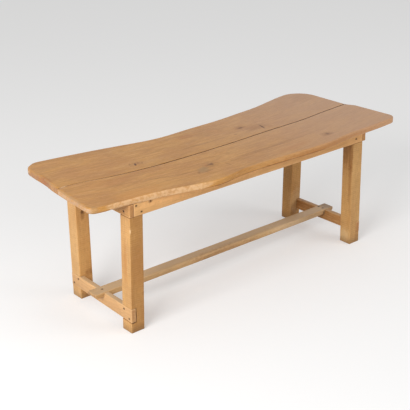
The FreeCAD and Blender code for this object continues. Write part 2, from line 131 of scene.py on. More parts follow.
soft_lamp("window_light", at=Vector((-6.0, -1.9, 3.2)), width=3.6, height=2.8, watts=380)
soft_lamp("fill_light", at=Vector((4.2, -5.6, 2.6)), width=4.0, height=3.0, watts=150)

# %% [markdown]
# ## The floor
# The table needs something to stand on that takes its shadow. A curved backdrop would hide the horizon, but
# a wide pale sheet is enough here. It glows a little where it is looked at, and that glow lights nothing, so
# the ground is nearly white while the table keeps its own colours.

# %% Floor
FLOOR_HALF, FLOOR_PALE, FLOOR_GLOW = 40, (0.66, 0.655, 0.65, 1), 0.34

floor_bm = bmesh.new()
bmesh.ops.create_grid(floor_bm, x_segments=1, y_segments=1, size=FLOOR_HALF)
floor_mesh = bpy.data.meshes.new("floor")
floor_bm.to_mesh(floor_mesh)
floor_bm.free()
floor = bpy.data.objects.new("floor", floor_mesh)
floor_paint = bpy.data.materials.new("pale_floor")
floor_paint.use_nodes = True
paint = floor_paint.node_tree.nodes["Principled BSDF"].inputs
paint["Base Color"].default_value = FLOOR_PALE
paint["Roughness"].default_value = 1.0
paint["Specular IOR Level"].default_value = 0.0
paint["Emission Color"].default_value = (1, 1, 1, 1)
glow = floor_paint.node_tree.nodes.new("ShaderNodeMath")
glow.operation = "MULTIPLY"
glow.inputs[1].default_value = FLOOR_GLOW
floor_paint.node_tree.links.new(looked_at(floor_paint.node_tree), glow.inputs[0])
floor_paint.node_tree.links.new(glow.outputs[0], paint["Emission Strength"])
floor_mesh.materials.append(floor_paint)
scene.collection.objects.link(floor)
print("floor", floor.dimensions[:2])

# %% [markdown]
# ## Measuring a timber
# A solid of the frame arrives as loose triangles. A copy with its doubles merged can be cut by a plane with
# everything on both sides cleared away, and what is left is the section of the timber at that place.
# Two sections show how a timber leans or tapers, without any size being written down a second time.

# %% Slices and sections
X, Y, Z = range(3)
MERGE = 1e-5


def everything(bm):
    return bm.verts[:] + bm.edges[:] + bm.faces[:]


def slice_of(node, axis, at):
    bm = bmesh.new()
    bm.from_mesh(nodes[node].data)
    bmesh.ops.remove_doubles(bm, verts=bm.verts, dist=MERGE)
    place, across = Vector(), Vector()
    place[axis], across[axis] = at, 1
    bmesh.ops.bisect_plane(bm, geom=everything(bm), plane_co=place, plane_no=across,
                           clear_inner=True, clear_outer=True)
    return bm


def section(node, axis, at):
    bm = slice_of(node, axis, at)
    points = np.array([v.co[:] for v in bm.verts])
    bm.free()
    return points.min(axis=0), points.max(axis=0)


low, high = section("leg_front_left", Z, 0.3)
print("leg section", [round(x, 4) for x in high - low])

# %% [markdown]
# ## A squared timber and its run
# A timber starts as a cube that is stretched to a straight bar with the mean section of the solid.
# It is shaped while it is straight, because cuts across a straight bar stay tidy. At the end each point is
# carried to its place between the sections at the two ends, which gives the bar its lean and taper.

# %% The run of a timber
LEG_CUTS, LONG_CUTS, SHORT_CUTS = (0.25, 0.60), (-0.5, 0.5), (-0.15, 0.10)


def run_of(node, axis, first, second):
    """The low and high corners of the section at each end, from the sections at two places in between."""
    low_end, high_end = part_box(node)
    here, there = section(node, axis, first), section(node, axis, second)
    ends = []
    for at in (low_end[axis], high_end[axis]):
        share = (at - first) / (second - first)
        ends.append([a + (b - a) * share for a, b in zip(here, there)])
        for corner in ends[-1]:
            corner[axis] = at
    return ends


def straight_bar(run, axis):
    low = (run[0][0] + run[1][0]) / 2
    high = (run[0][1] + run[1][1]) / 2
    low[axis], high[axis] = run[0][0][axis], run[1][0][axis]
    bm = bmesh.new()
    bmesh.ops.create_cube(bm, size=1)
    bmesh.ops.scale(bm, verts=bm.verts, vec=high - low)
    bmesh.ops.translate(bm, verts=bm.verts, vec=(high + low) / 2)
    return bm, low, high


def lay_along(bm, run, axis, low, high):
    for v in bm.verts:
        share = (v.co[axis] - low[axis]) / (high[axis] - low[axis])
        for k in range(3):
            if k != axis:
                start = run[0][0][k] + (run[1][0][k] - run[0][0][k]) * share
                stop = run[0][1][k] + (run[1][1][k] - run[0][1][k]) * share
                v.co[k] = start + (v.co[k] - low[k]) / (high[k] - low[k]) * (stop - start)


leg_runs = {}
for corner in ("front_left", "front_right", "rear_left", "rear_right"):
    leg_runs[corner] = run_of("leg_" + corner, Z, *LEG_CUTS)
    lean = leg_runs[corner][1][0] - leg_runs[corner][0][0]
    print("leg", corner, "leans", [round(x * 1000, 1) for x in lean[:2]], "mm")

# %% [markdown]
# ## Wear
# Old timber is never quite flat, and its arrises, the sharp edges where two faces meet, are rubbed round and
# knocked. The arrises are eased with a bevel, the faces are cut into small cells, and each point is then
# sunk a little by a noise that is drawn out along the grain. Close to an arris a second, shorter noise bites
# deeper. A Displace modifier could sink the points too, but it can't tell an arris from a face.
# How worn a point is goes into an attribute, so that the finish can be paler there. On the seam of the
# planks the same attribute also carries a short painted glint.

# %% Arrises, cells and weathering
SHARP, ARRIS_SPACING = math.radians(30), 0.004
SWELL_WAVES, SWELL_ALONG, SLOW_WAVES, NICK_WAVES, NICK_LEVEL = 14, 2.5, 6, 38, 0.30


def sharp_edges(bm):
    return [e for e in bm.edges if e.is_manifold and e.calc_face_angle() > SHARP]


def points_along(edge):
    a, b = (v.co for v in edge.verts)
    count = max(1, round((b - a).length / ARRIS_SPACING))
    return [a.lerp(b, k / count) for k in range(count + 1)]


def tree_of(points):
    """A search tree that finds the nearest of these points quickly."""
    tree = kdtree.KDTree(len(points))
    for k, point in enumerate(points):
        tree.insert(point, k)
    tree.balance()
    return tree


def arris_tree(bm):
    return tree_of([point for edge in sharp_edges(bm) for point in points_along(edge)])


def ease(bm, edges, width, rounds=3):
    bmesh.ops.bevel(bm, geom=edges, offset=width, offset_type="OFFSET", affect="EDGES", segments=rounds,
                    profile=0.5, material=-1, clamp_overlap=False)


def cut_cells(bm, axis, step):
    across = Vector()
    across[axis] = 1
    places = [v.co[axis] for v in bm.verts]
    low, high = min(places), max(places)
    count = max(1, round((high - low) / step))
    for k in range(1, count):
        bmesh.ops.bisect_plane(bm, geom=everything(bm), dist=MERGE, plane_no=across,
                               plane_co=across * (low + (high - low) * k / count))


def soft_step(share):
    share = min(1, max(0, share))
    return share * share * (3 - 2 * share)


def weather(bm, arrises, along, seed, dip=0.0005, bite=0.0014, reach=0.010):
    bm.normal_update()
    worn_and_glint = bm.verts.layers.float.get("wear_and_glint") or bm.verts.layers.float.new("wear_and_glint")
    shift = Vector((seed * 7.31, seed * 3.17, seed * 5.73))
    waves = Vector((SWELL_WAVES, SWELL_WAVES, SWELL_WAVES))
    waves[along] = SWELL_ALONG
    moves = []
    for v in bm.verts:
        swell = 0.5 + 0.5 * noise.noise(v.co * waves + shift)
        edge = soft_step(1 - arrises.find(v.co)[2] / reach)
        slow = 0.5 + 0.5 * noise.noise(v.co * SLOW_WAVES + shift)
        nick = max(0, noise.noise(v.co * NICK_WAVES + shift) - NICK_LEVEL)
        v[worn_and_glint] = edge * (0.25 + 0.75 * slow)
        moves.append(v.normal * -(dip * swell + bite * edge * (0.2 + 0.8 * slow * slow + 1.2 * nick)))
    for v, move in zip(bm.verts, moves):
        v.co += move


print("arrises sharper than", round(math.degrees(SHARP)), "degrees are eased")

# %% [markdown]
# ## Housings
# A joint is cut with saw and chisel: a block of the one timber's shape, a hair larger, is taken out of the
# other. A Boolean modifier does this on any shape, where cutting the faces by hand would need a new plan for
# every leg. The small clearance stays open and reads as the dark line round a let-in rail.

# %% Cutting a housing
CLEARANCE = 0.0011


def block_of(run, axis, grow=CLEARANCE):
    bm, low, high = straight_bar(run, axis)
    lay_along(bm, run, axis, low, high)
    middle = sum((v.co for v in bm.verts), Vector()) / len(bm.verts)
    for v in bm.verts:
        v.co += Vector(math.copysign(grow, away) for away in v.co - middle)
    return bm


def cut_housings(bm, cutters):
    def lay_out(shape, name):
        mesh = bpy.data.meshes.new(name)
        shape.to_mesh(mesh)
        shape.free()
        item = bpy.data.objects.new(name, mesh)
        scene.collection.objects.link(item)
        return item

    timber = lay_out(bm, "uncut_timber")
    saws = [lay_out(cutter, "chisel") for cutter in cutters]
    for saw in saws:
        cut = timber.modifiers.new("housing", "BOOLEAN")
        cut.operation, cut.solver, cut.object = "DIFFERENCE", "EXACT", saw
    housed = bmesh.new()
    housed.from_object(timber, bpy.context.evaluated_depsgraph_get())
    for item in (timber, *saws):
        bpy.data.objects.remove(item)
    return housed


print("housings are", CLEARANCE * 1000, "mm larger all round than the timber they take")

# %% [markdown]
# ## Handing a piece over
# A finished mesh becomes an object at the origin, with its place in its mesh. An object could carry its place
# itself, but this way all patterns of the wood are read in the space of the table. The piece rides on the
# table's one body, stands for its solid and takes its finish. Faces are shaded smooth except across
# real edges.

# %% Finished pieces
SMOOTH_UP_TO = math.radians(42)


def hand_over(bm, name, finish, slot, *stands_for):
    mesh = bpy.data.meshes.new(name)
    bm.to_mesh(mesh)
    bm.free()
    mesh.shade_smooth()
    mesh.set_sharp_from_angle(angle=SMOOTH_UP_TO)
    mesh.materials.append(finish)
    piece = bpy.data.objects.new(name, mesh)
    scene.collection.objects.link(piece)
    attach(piece, "root")
    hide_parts(*stands_for)
    print(name, len(mesh.vertices), "points", len(mesh.polygons), "faces")


print("faces are shaded smooth up to", round(math.degrees(SMOOTH_UP_TO)), "degrees")

# %% [markdown]
# ## Where the nails are
# The frame holds its joints with forged iron nails. Their solids show where each one is: every nail is an
# island of its node's mesh, its longest direction is its axis and its wider end is the head. The places could
# be typed in, but then a change to the frame would leave the nails behind.
# The heads are wanted twice, once to forge the nails and once to stain the wood round them.

# %% Nails read from the frame
HEAD_SLICE = 0.006


def islands(bm):
    """The points of each loose part, always in the order of the mesh."""
    seen, found = set(), []
    for start in bm.verts:
        front, island = [start], []
        while front:
            v = front.pop()
            if v not in seen:
                seen.add(v)
                island.append(v.co[:])
                front += [edge.other_vert(v) for edge in v.link_edges]
        if island:
            found.append(np.array(island))
    return found


def nails_of(node):
    bm = bmesh.new()
    bm.from_mesh(nodes[node].data)
    bmesh.ops.remove_doubles(bm, verts=bm.verts, dist=MERGE)
    nails = []
    for points in islands(bm):
        middle = (points.min(axis=0) + points.max(axis=0)) / 2
        spread = points - points.mean(axis=0)
        axis = np.linalg.svd(spread, full_matrices=False)[2][0]
        height = (points - middle) @ axis
        width = np.linalg.norm((points - middle) - np.outer(height, axis), axis=1)
        if width[height > 0].max() < width[height < 0].max():
            axis, height = -axis, -height
        head = points[height > height.max() - HEAD_SLICE].mean(axis=0)
        nails.append((Vector(head + axis * (height.max() - (head - middle) @ axis)), Vector(axis),
                      float(height.max() - height.min())))
    bm.free()
    return sorted(nails, key=lambda nail: [round(x, 4) for x in nail[0]])


nail_nodes = sorted(name for name in nodes if "nail" in name)
nails = {name: nails_of(name) for name in nail_nodes}
print("nails", sum(len(found) for found in nails.values()), "in", len(nails), "groups")

# %% [markdown]
# ## Mixing a finish
# A finish is a small web of nodes that works out a colour, a gloss and a relief from the place on the table.
# The colour is built up like paint: each coat covers what lies under it by a share from nothing to one.
# Helpers that add one node and feed its sockets keep each recipe short enough to read in one go.

# %% Finish helper
def srgb(red, green, blue):
    """A colour as a paint chart gives it, from 0 to 255, in the linear form that the shader wants."""
    parts = (c / 255 for c in (red, green, blue))
    return [c / 12.92 if c <= 0.04045 else ((c + 0.055) / 1.055) ** 2.4 for c in parts] + [1.0]


def darker(colour, share):
    return [c * share for c in colour[:3]] + [1.0]


class Finish:
    def __init__(self, name):
        self.material = bpy.data.materials.new(name)
        self.material.use_nodes = True
        self.tree = self.material.node_tree
        self.shader = self.tree.nodes["Principled BSDF"]
        self.place = self.add("TexCoord").outputs["Object"]
        self.colour = None

    def feed(self, socket, value):
        if isinstance(value, bpy.types.NodeSocket):
            self.tree.links.new(value, socket)
        else:
            socket.default_value = value

    def add(self, kind, *fed, **settings):
        node = self.tree.nodes.new("ShaderNode" + kind)
        for name, value in settings.items():
            setattr(node, name, value)
        for socket, value in fed:
            self.feed(node.inputs[socket], value)
        return node

    def math(self, operation, a, b=0.0):
        return self.add("Math", (0, a), (1, b), operation=operation).outputs[0]

    def vector(self, operation, a, b):
        node = self.add("VectorMath", (0, a), (1, b), operation=operation)
        return node.outputs["Value" if operation in ("LENGTH", "DOT_PRODUCT") else "Vector"]

    def noise(self, at, detail=3.0, rough=0.55):
        return self.add("TexNoise", ("Vector", at), ("Scale", 1.0), ("Detail", detail), ("Roughness", rough))

    def ramp(self, value, start, stop, low=0.0, high=1.0):
        return self.add("MapRange", (0, value), (1, start), (2, stop), (3, low), (4, high),
                        interpolation_type="SMOOTHSTEP").outputs[0]

    def blend(self, share, under, over):
        return self.add("Mix", (0, share), (6, under), (7, over), data_type="RGBA").outputs[2]

    def coat(self, share, colour):
        self.colour = self.blend(share, self.colour, colour)


print("honey wood is", [round(c, 3) for c in srgb(198, 148, 95)])

# %% [markdown]
# ## Grain
# The wood is a pale softwood that wax and light have turned honey brown. Everything in it runs along the
# trunk, so a place on a timber is first written with the grain direction in front. Each noise is then drawn
# out along it: hair-fine fibres, thin lines, streaks of soaked-in wax, soft patches, broad tides of colour.
# A wood picture could be wrapped round each piece, but then its ends would never match its faces. A pattern
# in space gives faces, edges and end grain that belong together.

# %% Grain patterns
GRAIN_WAVES = {"fibre": (14, 330, 4.0), "line": (6, 110, 4.0), "streak": (2.2, 32, 4.0),
               "fleck": (45, 170, 2.0), "patch": (5, 11, 4.0), "tide": (1.6, 4, 4.0), "pores": (40, 900, 2.0)}
BLOTCH_WAVES = 62
PLANK_RING = 0.0065


def drawn_out(w, along, across, detail):
    """A noise with so many waves to the metre along the grain and across it."""
    stretched = w.vector("MULTIPLY", w.swung, (along, across, across))
    return w.noise(stretched, detail=detail, rough=0.6).outputs["Fac"]


def start_wood(name, along, seed, bow):
    w = Finish(name)
    w.along, w.order = along, (along, (along + 1) % 3, (along + 2) % 3)
    w.parts = w.add("SeparateXYZ", (0, w.place)).outputs
    w.grain = w.add("CombineXYZ", *[(k, w.parts[w.order[k]]) for k in range(3)]).outputs[0]
    bent = w.math("MULTIPLY", w.math("MULTIPLY", w.parts[along], w.parts[along]), -bow)
    shifted = w.vector("ADD", w.grain, w.add("CombineXYZ", (0, seed * 3.7), (1, bent)).outputs[0])
    drift = w.noise(w.vector("MULTIPLY", shifted, (1.1, 2.5, 2.5)), detail=2.0).outputs["Color"]
    drift = w.vector("SUBTRACT", drift, (0.5, 0.5, 0.5))
    w.arched = w.vector("ADD", shifted, w.vector("MULTIPLY", drift, (0, 0.10, 0.10)))
    w.swung = w.vector("ADD", shifted, w.vector("MULTIPLY", drift, (0, 0.018, 0.018)))
    for pattern, waves in GRAIN_WAVES.items():
        setattr(w, pattern, drawn_out(w, *waves))
    w.blotch = w.noise(w.vector("MULTIPLY", w.place, [BLOTCH_WAVES] * 3)).outputs["Fac"]
    w.ragged = w.math("SUBTRACT", w.blotch, 0.5)
    return w


def growth_rings(w, pith, gap, knots):
    """The dark late wood of each year, round a pith that wanders, pushed aside where a knot grew."""
    bulge = 0.0
    for place, size in knots:
        away = w.vector("SUBTRACT", w.grain, [place[k] for k in w.order])
        near = w.vector("LENGTH", w.vector("MULTIPLY", away, (1 / size, 1 / size, 0.2 / size)), (0, 0, 0))
        bulge = w.math("ADD", bulge, w.ramp(near, 4.0, 0.0, 0.0, 0.018))
    centre = (0, pith[w.order[1]], pith[w.order[2]])
    round_pith = w.vector("MULTIPLY", w.vector("SUBTRACT", w.arched, centre), (0, 1, 1))
    radius = w.math("ADD", w.vector("LENGTH", round_pith, (0, 0, 0)), bulge)
    year = w.math("FRACT", w.math("DIVIDE", radius, gap))
    return w.math("MULTIPLY", w.ramp(year, 0.25, 0.92), w.ramp(year, 1.0, 0.94))


print("the grain leads in each pattern, and a plank has about", round(1 / PLANK_RING), "rings to the metre")

# %% [markdown]
# ## Coats of colour
# The body of the wood swims between honey and a duller brown. Late wood, fibres and streaks darken it, and
# thin pale threads lighten it. A single ramp from light to dark would look printed, so each pattern lays a
# coat of its own. Faces can be tinted by the way that they look: tops where feet rub them, and the sides of
# the legs with painted light and shade.
# End grain drinks more wax and dirt than long grain, so it is redder and darker.

# %% Body, faces and ends
PALE, RUDDY, AMBER = srgb(232, 188, 134), srgb(172, 106, 54), srgb(206, 136, 52)


def coat_body(w, honey, dull, late, ring_share, figure):
    deep = darker(honey, 0.58)
    w.colour = w.blend(w.ramp(w.patch, 0.30, 0.70), honey, dull)
    w.coat(w.ramp(w.tide, 0.50, 0.74, 0.0, 0.34 * figure), RUDDY)
    w.coat(w.math("MULTIPLY", late, ring_share), deep)
    for pattern, start, stop, share, colour in (
            (w.fibre, 0.48, 0.86, 0.5, deep), (w.fibre, 0.48, 0.18, 0.3, PALE),
            (w.streak, 0.52, 0.80, 0.32 * figure, deep), (w.streak, 0.46, 0.24, 0.18 * figure, PALE),
            (w.line, 0.50, 0.74, 0.48 * figure, deep), (w.line, 0.46, 0.26, 0.26 * figure, PALE),
            (w.fleck, 0.50, 0.74, 0.26, deep), (w.fleck, 0.48, 0.28, 0.16, PALE),
            (w.pores, 0.66, 0.78, 0.35, darker(honey, 0.4))):
        w.coat(w.ramp(pattern, start, stop, 0.0, share), colour)


def tint_faces(w, way, colour, share):
    """A colour for the faces that look a certain way: worn tops, and painted light and shade on the sides."""
    looks = w.vector("DOT_PRODUCT", w.add("TexCoord").outputs["Normal"], way)
    w.coat(w.ramp(looks, 0.45, 0.85, 0.0, share), colour)


def coat_ends(w, late, share, cut_end):
    facing = w.add("SeparateXYZ", (0, w.add("TexCoord").outputs["Normal"])).outputs[w.along]
    end = w.ramp(w.math("ABSOLUTE", facing), 0.55, 0.9, 0.0, share)
    cut = w.blend(w.math("MULTIPLY", late, 0.5), cut_end, darker(cut_end, 0.5))
    w.coat(w.math("MULTIPLY", end, w.ramp(w.blotch, 0.35, 0.6, 0.35, 1.0)), cut)


END_GRAIN = srgb(182, 122, 74)
print("end grain goes from", [round(c, 2) for c in END_GRAIN[:3]], "to half of that")

# %% [markdown]
# ## Spots
# Knots, drying cracks, iron stains, grime and patches of painted light and shade are all spots: a place, a
# reach along and across the grain, and a colour that covers the wood by a share, with a ragged edge, and
# that can be turned. A knot is a dark heart with smudged wings that run out along the grain, and a stain is
# what wet iron leaves round a nail.
# They could be painted on a picture, but a spot in space goes into the wood and shows on every face it meets.

# %% Spots
# The smudge colour darkens the wings of knots, cracks and grime, and it also paints patches of shade on the
# legs and on the right foot rail.
SMUDGE_AND_SHADE, HEART, RUST = srgb(124, 70, 20), srgb(72, 32, 4), srgb(62, 39, 23)
OLIVE = srgb(150, 122, 82)
TOP, SPOT_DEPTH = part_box("top_plank_front")[1].z, 0.03
STAIN_REACH, STAIN_SHARE = (0.010, 0.0075, 0.0075), 0.85


def on_top(x, y, along, across, share, colour, turn=0.0):
    """A spot on the upper face of the top, with its reach along the grain and across it."""
    return (x, y, TOP), (along, across, SPOT_DEPTH), share, colour, turn


def knot(x, y, heart, wings, share):
    return [on_top(x, y, *wings, share * 0.8, SMUDGE_AND_SHADE), on_top(x, y, *heart, share, HEART)]


def stains(*groups, wide=1.0):
    reach = [r * wide for r in STAIN_REACH]
    return [(nail[0], reach, STAIN_SHARE, RUST) for group in groups for nail in nails[group]]


def coat_spot(w, place, reach, share, colour, turn=0.0):
    away = w.vector("SUBTRACT", w.grain, [place[k] for k in w.order])
    if turn:
        away = w.add("VectorRotate", ("Vector", away), ("Axis", (0, 0, 1)), ("Angle", -turn)).outputs[0]
    away = w.vector("LENGTH", w.vector("MULTIPLY", away, [1 / r for r in reach]), (0, 0, 0))
    away = w.math("ADD", away, w.math("MULTIPLY", w.ragged, 1.1))
    cover = w.ramp(away, 1.25, 0.35, 0.0, share)
    if colour == SMUDGE_AND_SHADE:
        cover = w.math("MULTIPLY", cover, w.ramp(w.line, 0.34, 0.60, 0.45, 1.0))
    w.coat(cover, colour)


print("nails to stain", sum(len(found) for found in nails.values()))

# %% [markdown]
# ## Wear, dirt and saw marks
# Rubbed arrises are pale and dull, the open seam is dark with dirt, a short piece of the seam gets a painted
# glint, and the legs are darker towards the floor. The legs still show the marks of the saw across their
# faces: fine ripples less than a finger apart, over longer waves. These could be cut into the mesh, but they
# are so shallow that colour and relief are enough.

# %% Wear, dirt, saw marks and the whole recipe
FINE_PITCH, LONG_PITCH, SAW_WOBBLE = 0.0125, 0.039, 9
DIRT_SHARE, DIRT, FOOT_DARKENING, FOOT_HEIGHT = 0.97, srgb(34, 18, 8), srgb(98, 74, 50), 0.06
LEFT_END_FROM, LEFT_END_TO = -0.98, -1.05
# Over this stretch along the table the top is painted greyer, as a sheen of reflected light.
SHEEN_FROM, SHEEN_TO, SHEEN_SHARE = -0.35, 1.0, 0.55


# Rubbed arrises turn paler, and on the seam of the planks the same attribute paints a short glint.
def coat_wear_and_glint(w, share, bare_wood, bare_end):
    wear_and_glint = w.add("Attribute", attribute_name="wear_and_glint").outputs["Fac"]
    rubbed_and_glint = w.math("MULTIPLY", w.ramp(wear_and_glint, 0.10, 0.65, 0.0, share), w.ramp(w.blotch, 0.32, 0.60, 0.35, 1.0))
    w.coat(rubbed_and_glint, w.blend(w.ramp(w.parts[X], LEFT_END_FROM, LEFT_END_TO), bare_wood, bare_end))
    dirt = w.add("Attribute", attribute_name="dirt").outputs["Fac"]
    w.coat(w.ramp(dirt, 0.40, 0.95, 0.0, DIRT_SHARE), DIRT)
    return wear_and_glint


def saw_marks(w):
    """Ripples across the timber that come and go, from minus one to one."""
    wobble = w.noise(w.vector("MULTIPLY", w.grain, (12, 34, 34)), detail=2.0).outputs["Fac"]
    broken = w.noise(w.vector("MULTIPLY", w.grain, (26, 44, 44)), detail=2.0).outputs["Fac"]
    waves = 0.0
    for pitch, share in ((FINE_PITCH, 0.75), (LONG_PITCH, 0.25)):
        turn = w.math("MULTIPLY", w.parts[w.along], 2 * math.pi / pitch)
        turn = w.math("ADD", turn, w.math("MULTIPLY", wobble, SAW_WOBBLE))
        waves = w.math("ADD", waves, w.math("MULTIPLY", w.math("SINE", turn), share))
    return w.math("MULTIPLY", waves, w.ramp(broken, 0.36, 0.60, 0.15, 1.0))


def wood(name, along, honey, dull, pith, spots=(), faces=(), knots=(), seed=0.0, ring_gap=0.0055,
         ring_share=0.2, figure=1.0, end_share=0.85, wear_and_glint_share=0.4, gloss=0.40, shine=0.25, sawn=0.0,
         darker_foot=0.0, painted_sheen=None, bow=0.0, cut_end=END_GRAIN, bare_wood=PALE, bare_end=PALE,
         mottle=0.0):
    w = start_wood(name, along, seed, bow)
    late = growth_rings(w, pith, ring_gap, knots)
    coat_body(w, honey, dull, late, ring_share, figure)
    # A painted sheen: the colour turns greyer towards the right end, as reflected light would make it.
    if painted_sheen:
        w.coat(w.ramp(w.parts[X], SHEEN_FROM, SHEEN_TO, 0.0, SHEEN_SHARE), painted_sheen)
    if mottle:
        w.coat(w.ramp(w.blotch, 0.52, 0.72, 0.0, mottle), darker(dull, 0.62))
        w.coat(w.ramp(w.blotch, 0.48, 0.28, 0.0, mottle * 0.7), PALE)
    relief = w.math("ADD", w.math("MULTIPLY", w.fibre, 0.55), w.math("MULTIPLY", late, 0.18))
    relief = w.math("SUBTRACT", relief, w.ramp(w.pores, 0.66, 0.8, 0.0, 0.4))
    relief = w.math("SUBTRACT", relief, w.ramp(w.blotch, 0.60, 0.80, 0.0, 0.9))
    if sawn:
        ripples = saw_marks(w)
        w.coat(w.ramp(ripples, 0.0, 0.9, 0.0, sawn), darker(dull, 0.55))
        w.coat(w.ramp(ripples, 0.0, -0.9, 0.0, sawn * 0.6), PALE)
        relief = w.math("SUBTRACT", relief, w.math("MULTIPLY", ripples, 0.5))
    for way, colour, share in faces:
        tint_faces(w, way, colour, share)
    coat_ends(w, late, end_share, cut_end)
    for spot in spots:
        coat_spot(w, *spot)
    wear_and_glint = coat_wear_and_glint(w, wear_and_glint_share, bare_wood, bare_end)
    # The legs are darker towards the floor.
    if darker_foot:
        low = w.math("ADD", w.parts[Z], w.math("MULTIPLY", w.ragged, FOOT_HEIGHT))
        w.coat(w.ramp(low, FOOT_HEIGHT, 0.0, 0.0, darker_foot), FOOT_DARKENING)
    rough = w.ramp(w.fibre, 0.2, 0.8, gloss - 0.06, gloss + 0.12)
    rough = w.math("ADD", rough, w.math("MULTIPLY", wear_and_glint, 0.15))
    bump = w.add("Bump", ("Strength", 0.5), ("Distance", 0.0008), ("Height", relief)).outputs[0]
    for socket, value in (("Base Color", w.colour), ("Roughness", rough), ("Normal", bump),
                          ("Specular IOR Level", shine)):
        w.feed(w.shader.inputs[socket], value)
    print(name, len(w.tree.nodes), "nodes", len(spots), "spots")
    return w.material


print("saw marks are", FINE_PITCH * 1000, "and", LONG_PITCH * 1000, "mm apart")

# %% [markdown]
# ## The two planks
# The top is two planks sawn through a bowed trunk and laid side by side, so their edges curve and the seam
# between them stays open. The outline is taken from a slice of each solid, just below the rounded arris.
# That loop is filled, extruded to the thickness of the plank, eased along its rims and cut into cells.
# A grid could be bent to the outline instead, but it would bunch up at the round corners.

# %% Plank blanks
OUTLINE_HEIGHT, OUTLINE_MERGE = 0.749, 0.0015


def plank_blank(node):
    under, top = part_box(node)[0].z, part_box(node)[1].z
    bm = slice_of(node, Z, OUTLINE_HEIGHT)
    bmesh.ops.remove_doubles(bm, verts=bm.verts, dist=OUTLINE_MERGE)
    outline = bmesh.ops.contextual_create(bm, geom=bm.edges[:])["faces"]
    bmesh.ops.translate(bm, verts=bm.verts, vec=(0, 0, under - OUTLINE_HEIGHT))
    raised = bmesh.ops.extrude_face_region(bm, geom=outline)["geom"]
    bmesh.ops.translate(bm, verts=[v for v in raised if isinstance(v, bmesh.types.BMVert)],
                        vec=(0, 0, top - under))
    bmesh.ops.recalc_face_normals(bm, faces=bm.faces)
    return bm


def rim_of(bm):
    """Points along the upper rim, and for each one the level direction that leads into the plank."""
    top, points, inward = max(v.co.z for v in bm.verts), [], []
    for edge in bm.edges:
        if all(abs(v.co.z - top) < MERGE for v in edge.verts):
            wall = min(edge.link_faces, key=lambda face: abs(face.normal.z))
            points += points_along(edge)
            inward += [-wall.normal] * (len(points) - len(inward))
    return tree_of(points), inward


plank_blanks = {which: plank_blank("top_plank_" + which) for which in ("front", "rear")}
plank_arrises = {which: arris_tree(bm) for which, bm in plank_blanks.items()}
plank_rims = {which: rim_of(bm) for which, bm in plank_blanks.items()}
for which, bm in plank_blanks.items():
    print("plank", which, len(bm.verts), "points", round(bm.calc_volume() * 1000, 1), "litres",
          "closed", all(edge.is_manifold for edge in bm.edges))

# %% [markdown]
# ## The finish of the planks
# Each plank has its own knots, cracks and stains, so each gets its own list of spots. Most lie on the upper
# face. Dark bark streaks run low along the front edge, where they also stand as painted shade between the
# plank and the apron. The left end is darker along its upper edge and, as painted shade, at its front
# corner, and towards the right end the top is painted greyer as a sheen of reflected light.
# The rings are drawn round a pith below the plank, which is what bends them into arches on its face.

# %% Plank finishes
PLANK_BOW = 0.08
# The greyer plank colour is a painted sheen towards the right end.
PLANK_HONEY, PLANK_DULL, PLANK_PAINTED_SHEEN = srgb(204, 148, 80), srgb(188, 132, 74), srgb(198, 159, 132)
RUBBED_FRONT, RUBBED_END_AND_GLINT, SPLINTERED = srgb(230, 192, 150), srgb(222, 194, 160), srgb(150, 84, 48)
CHIPPED = srgb(228, 196, 158)
BARK_AND_SHADE, BROWNED, DARKER_END = srgb(120, 66, 20), srgb(172, 112, 52), srgb(164, 132, 96)
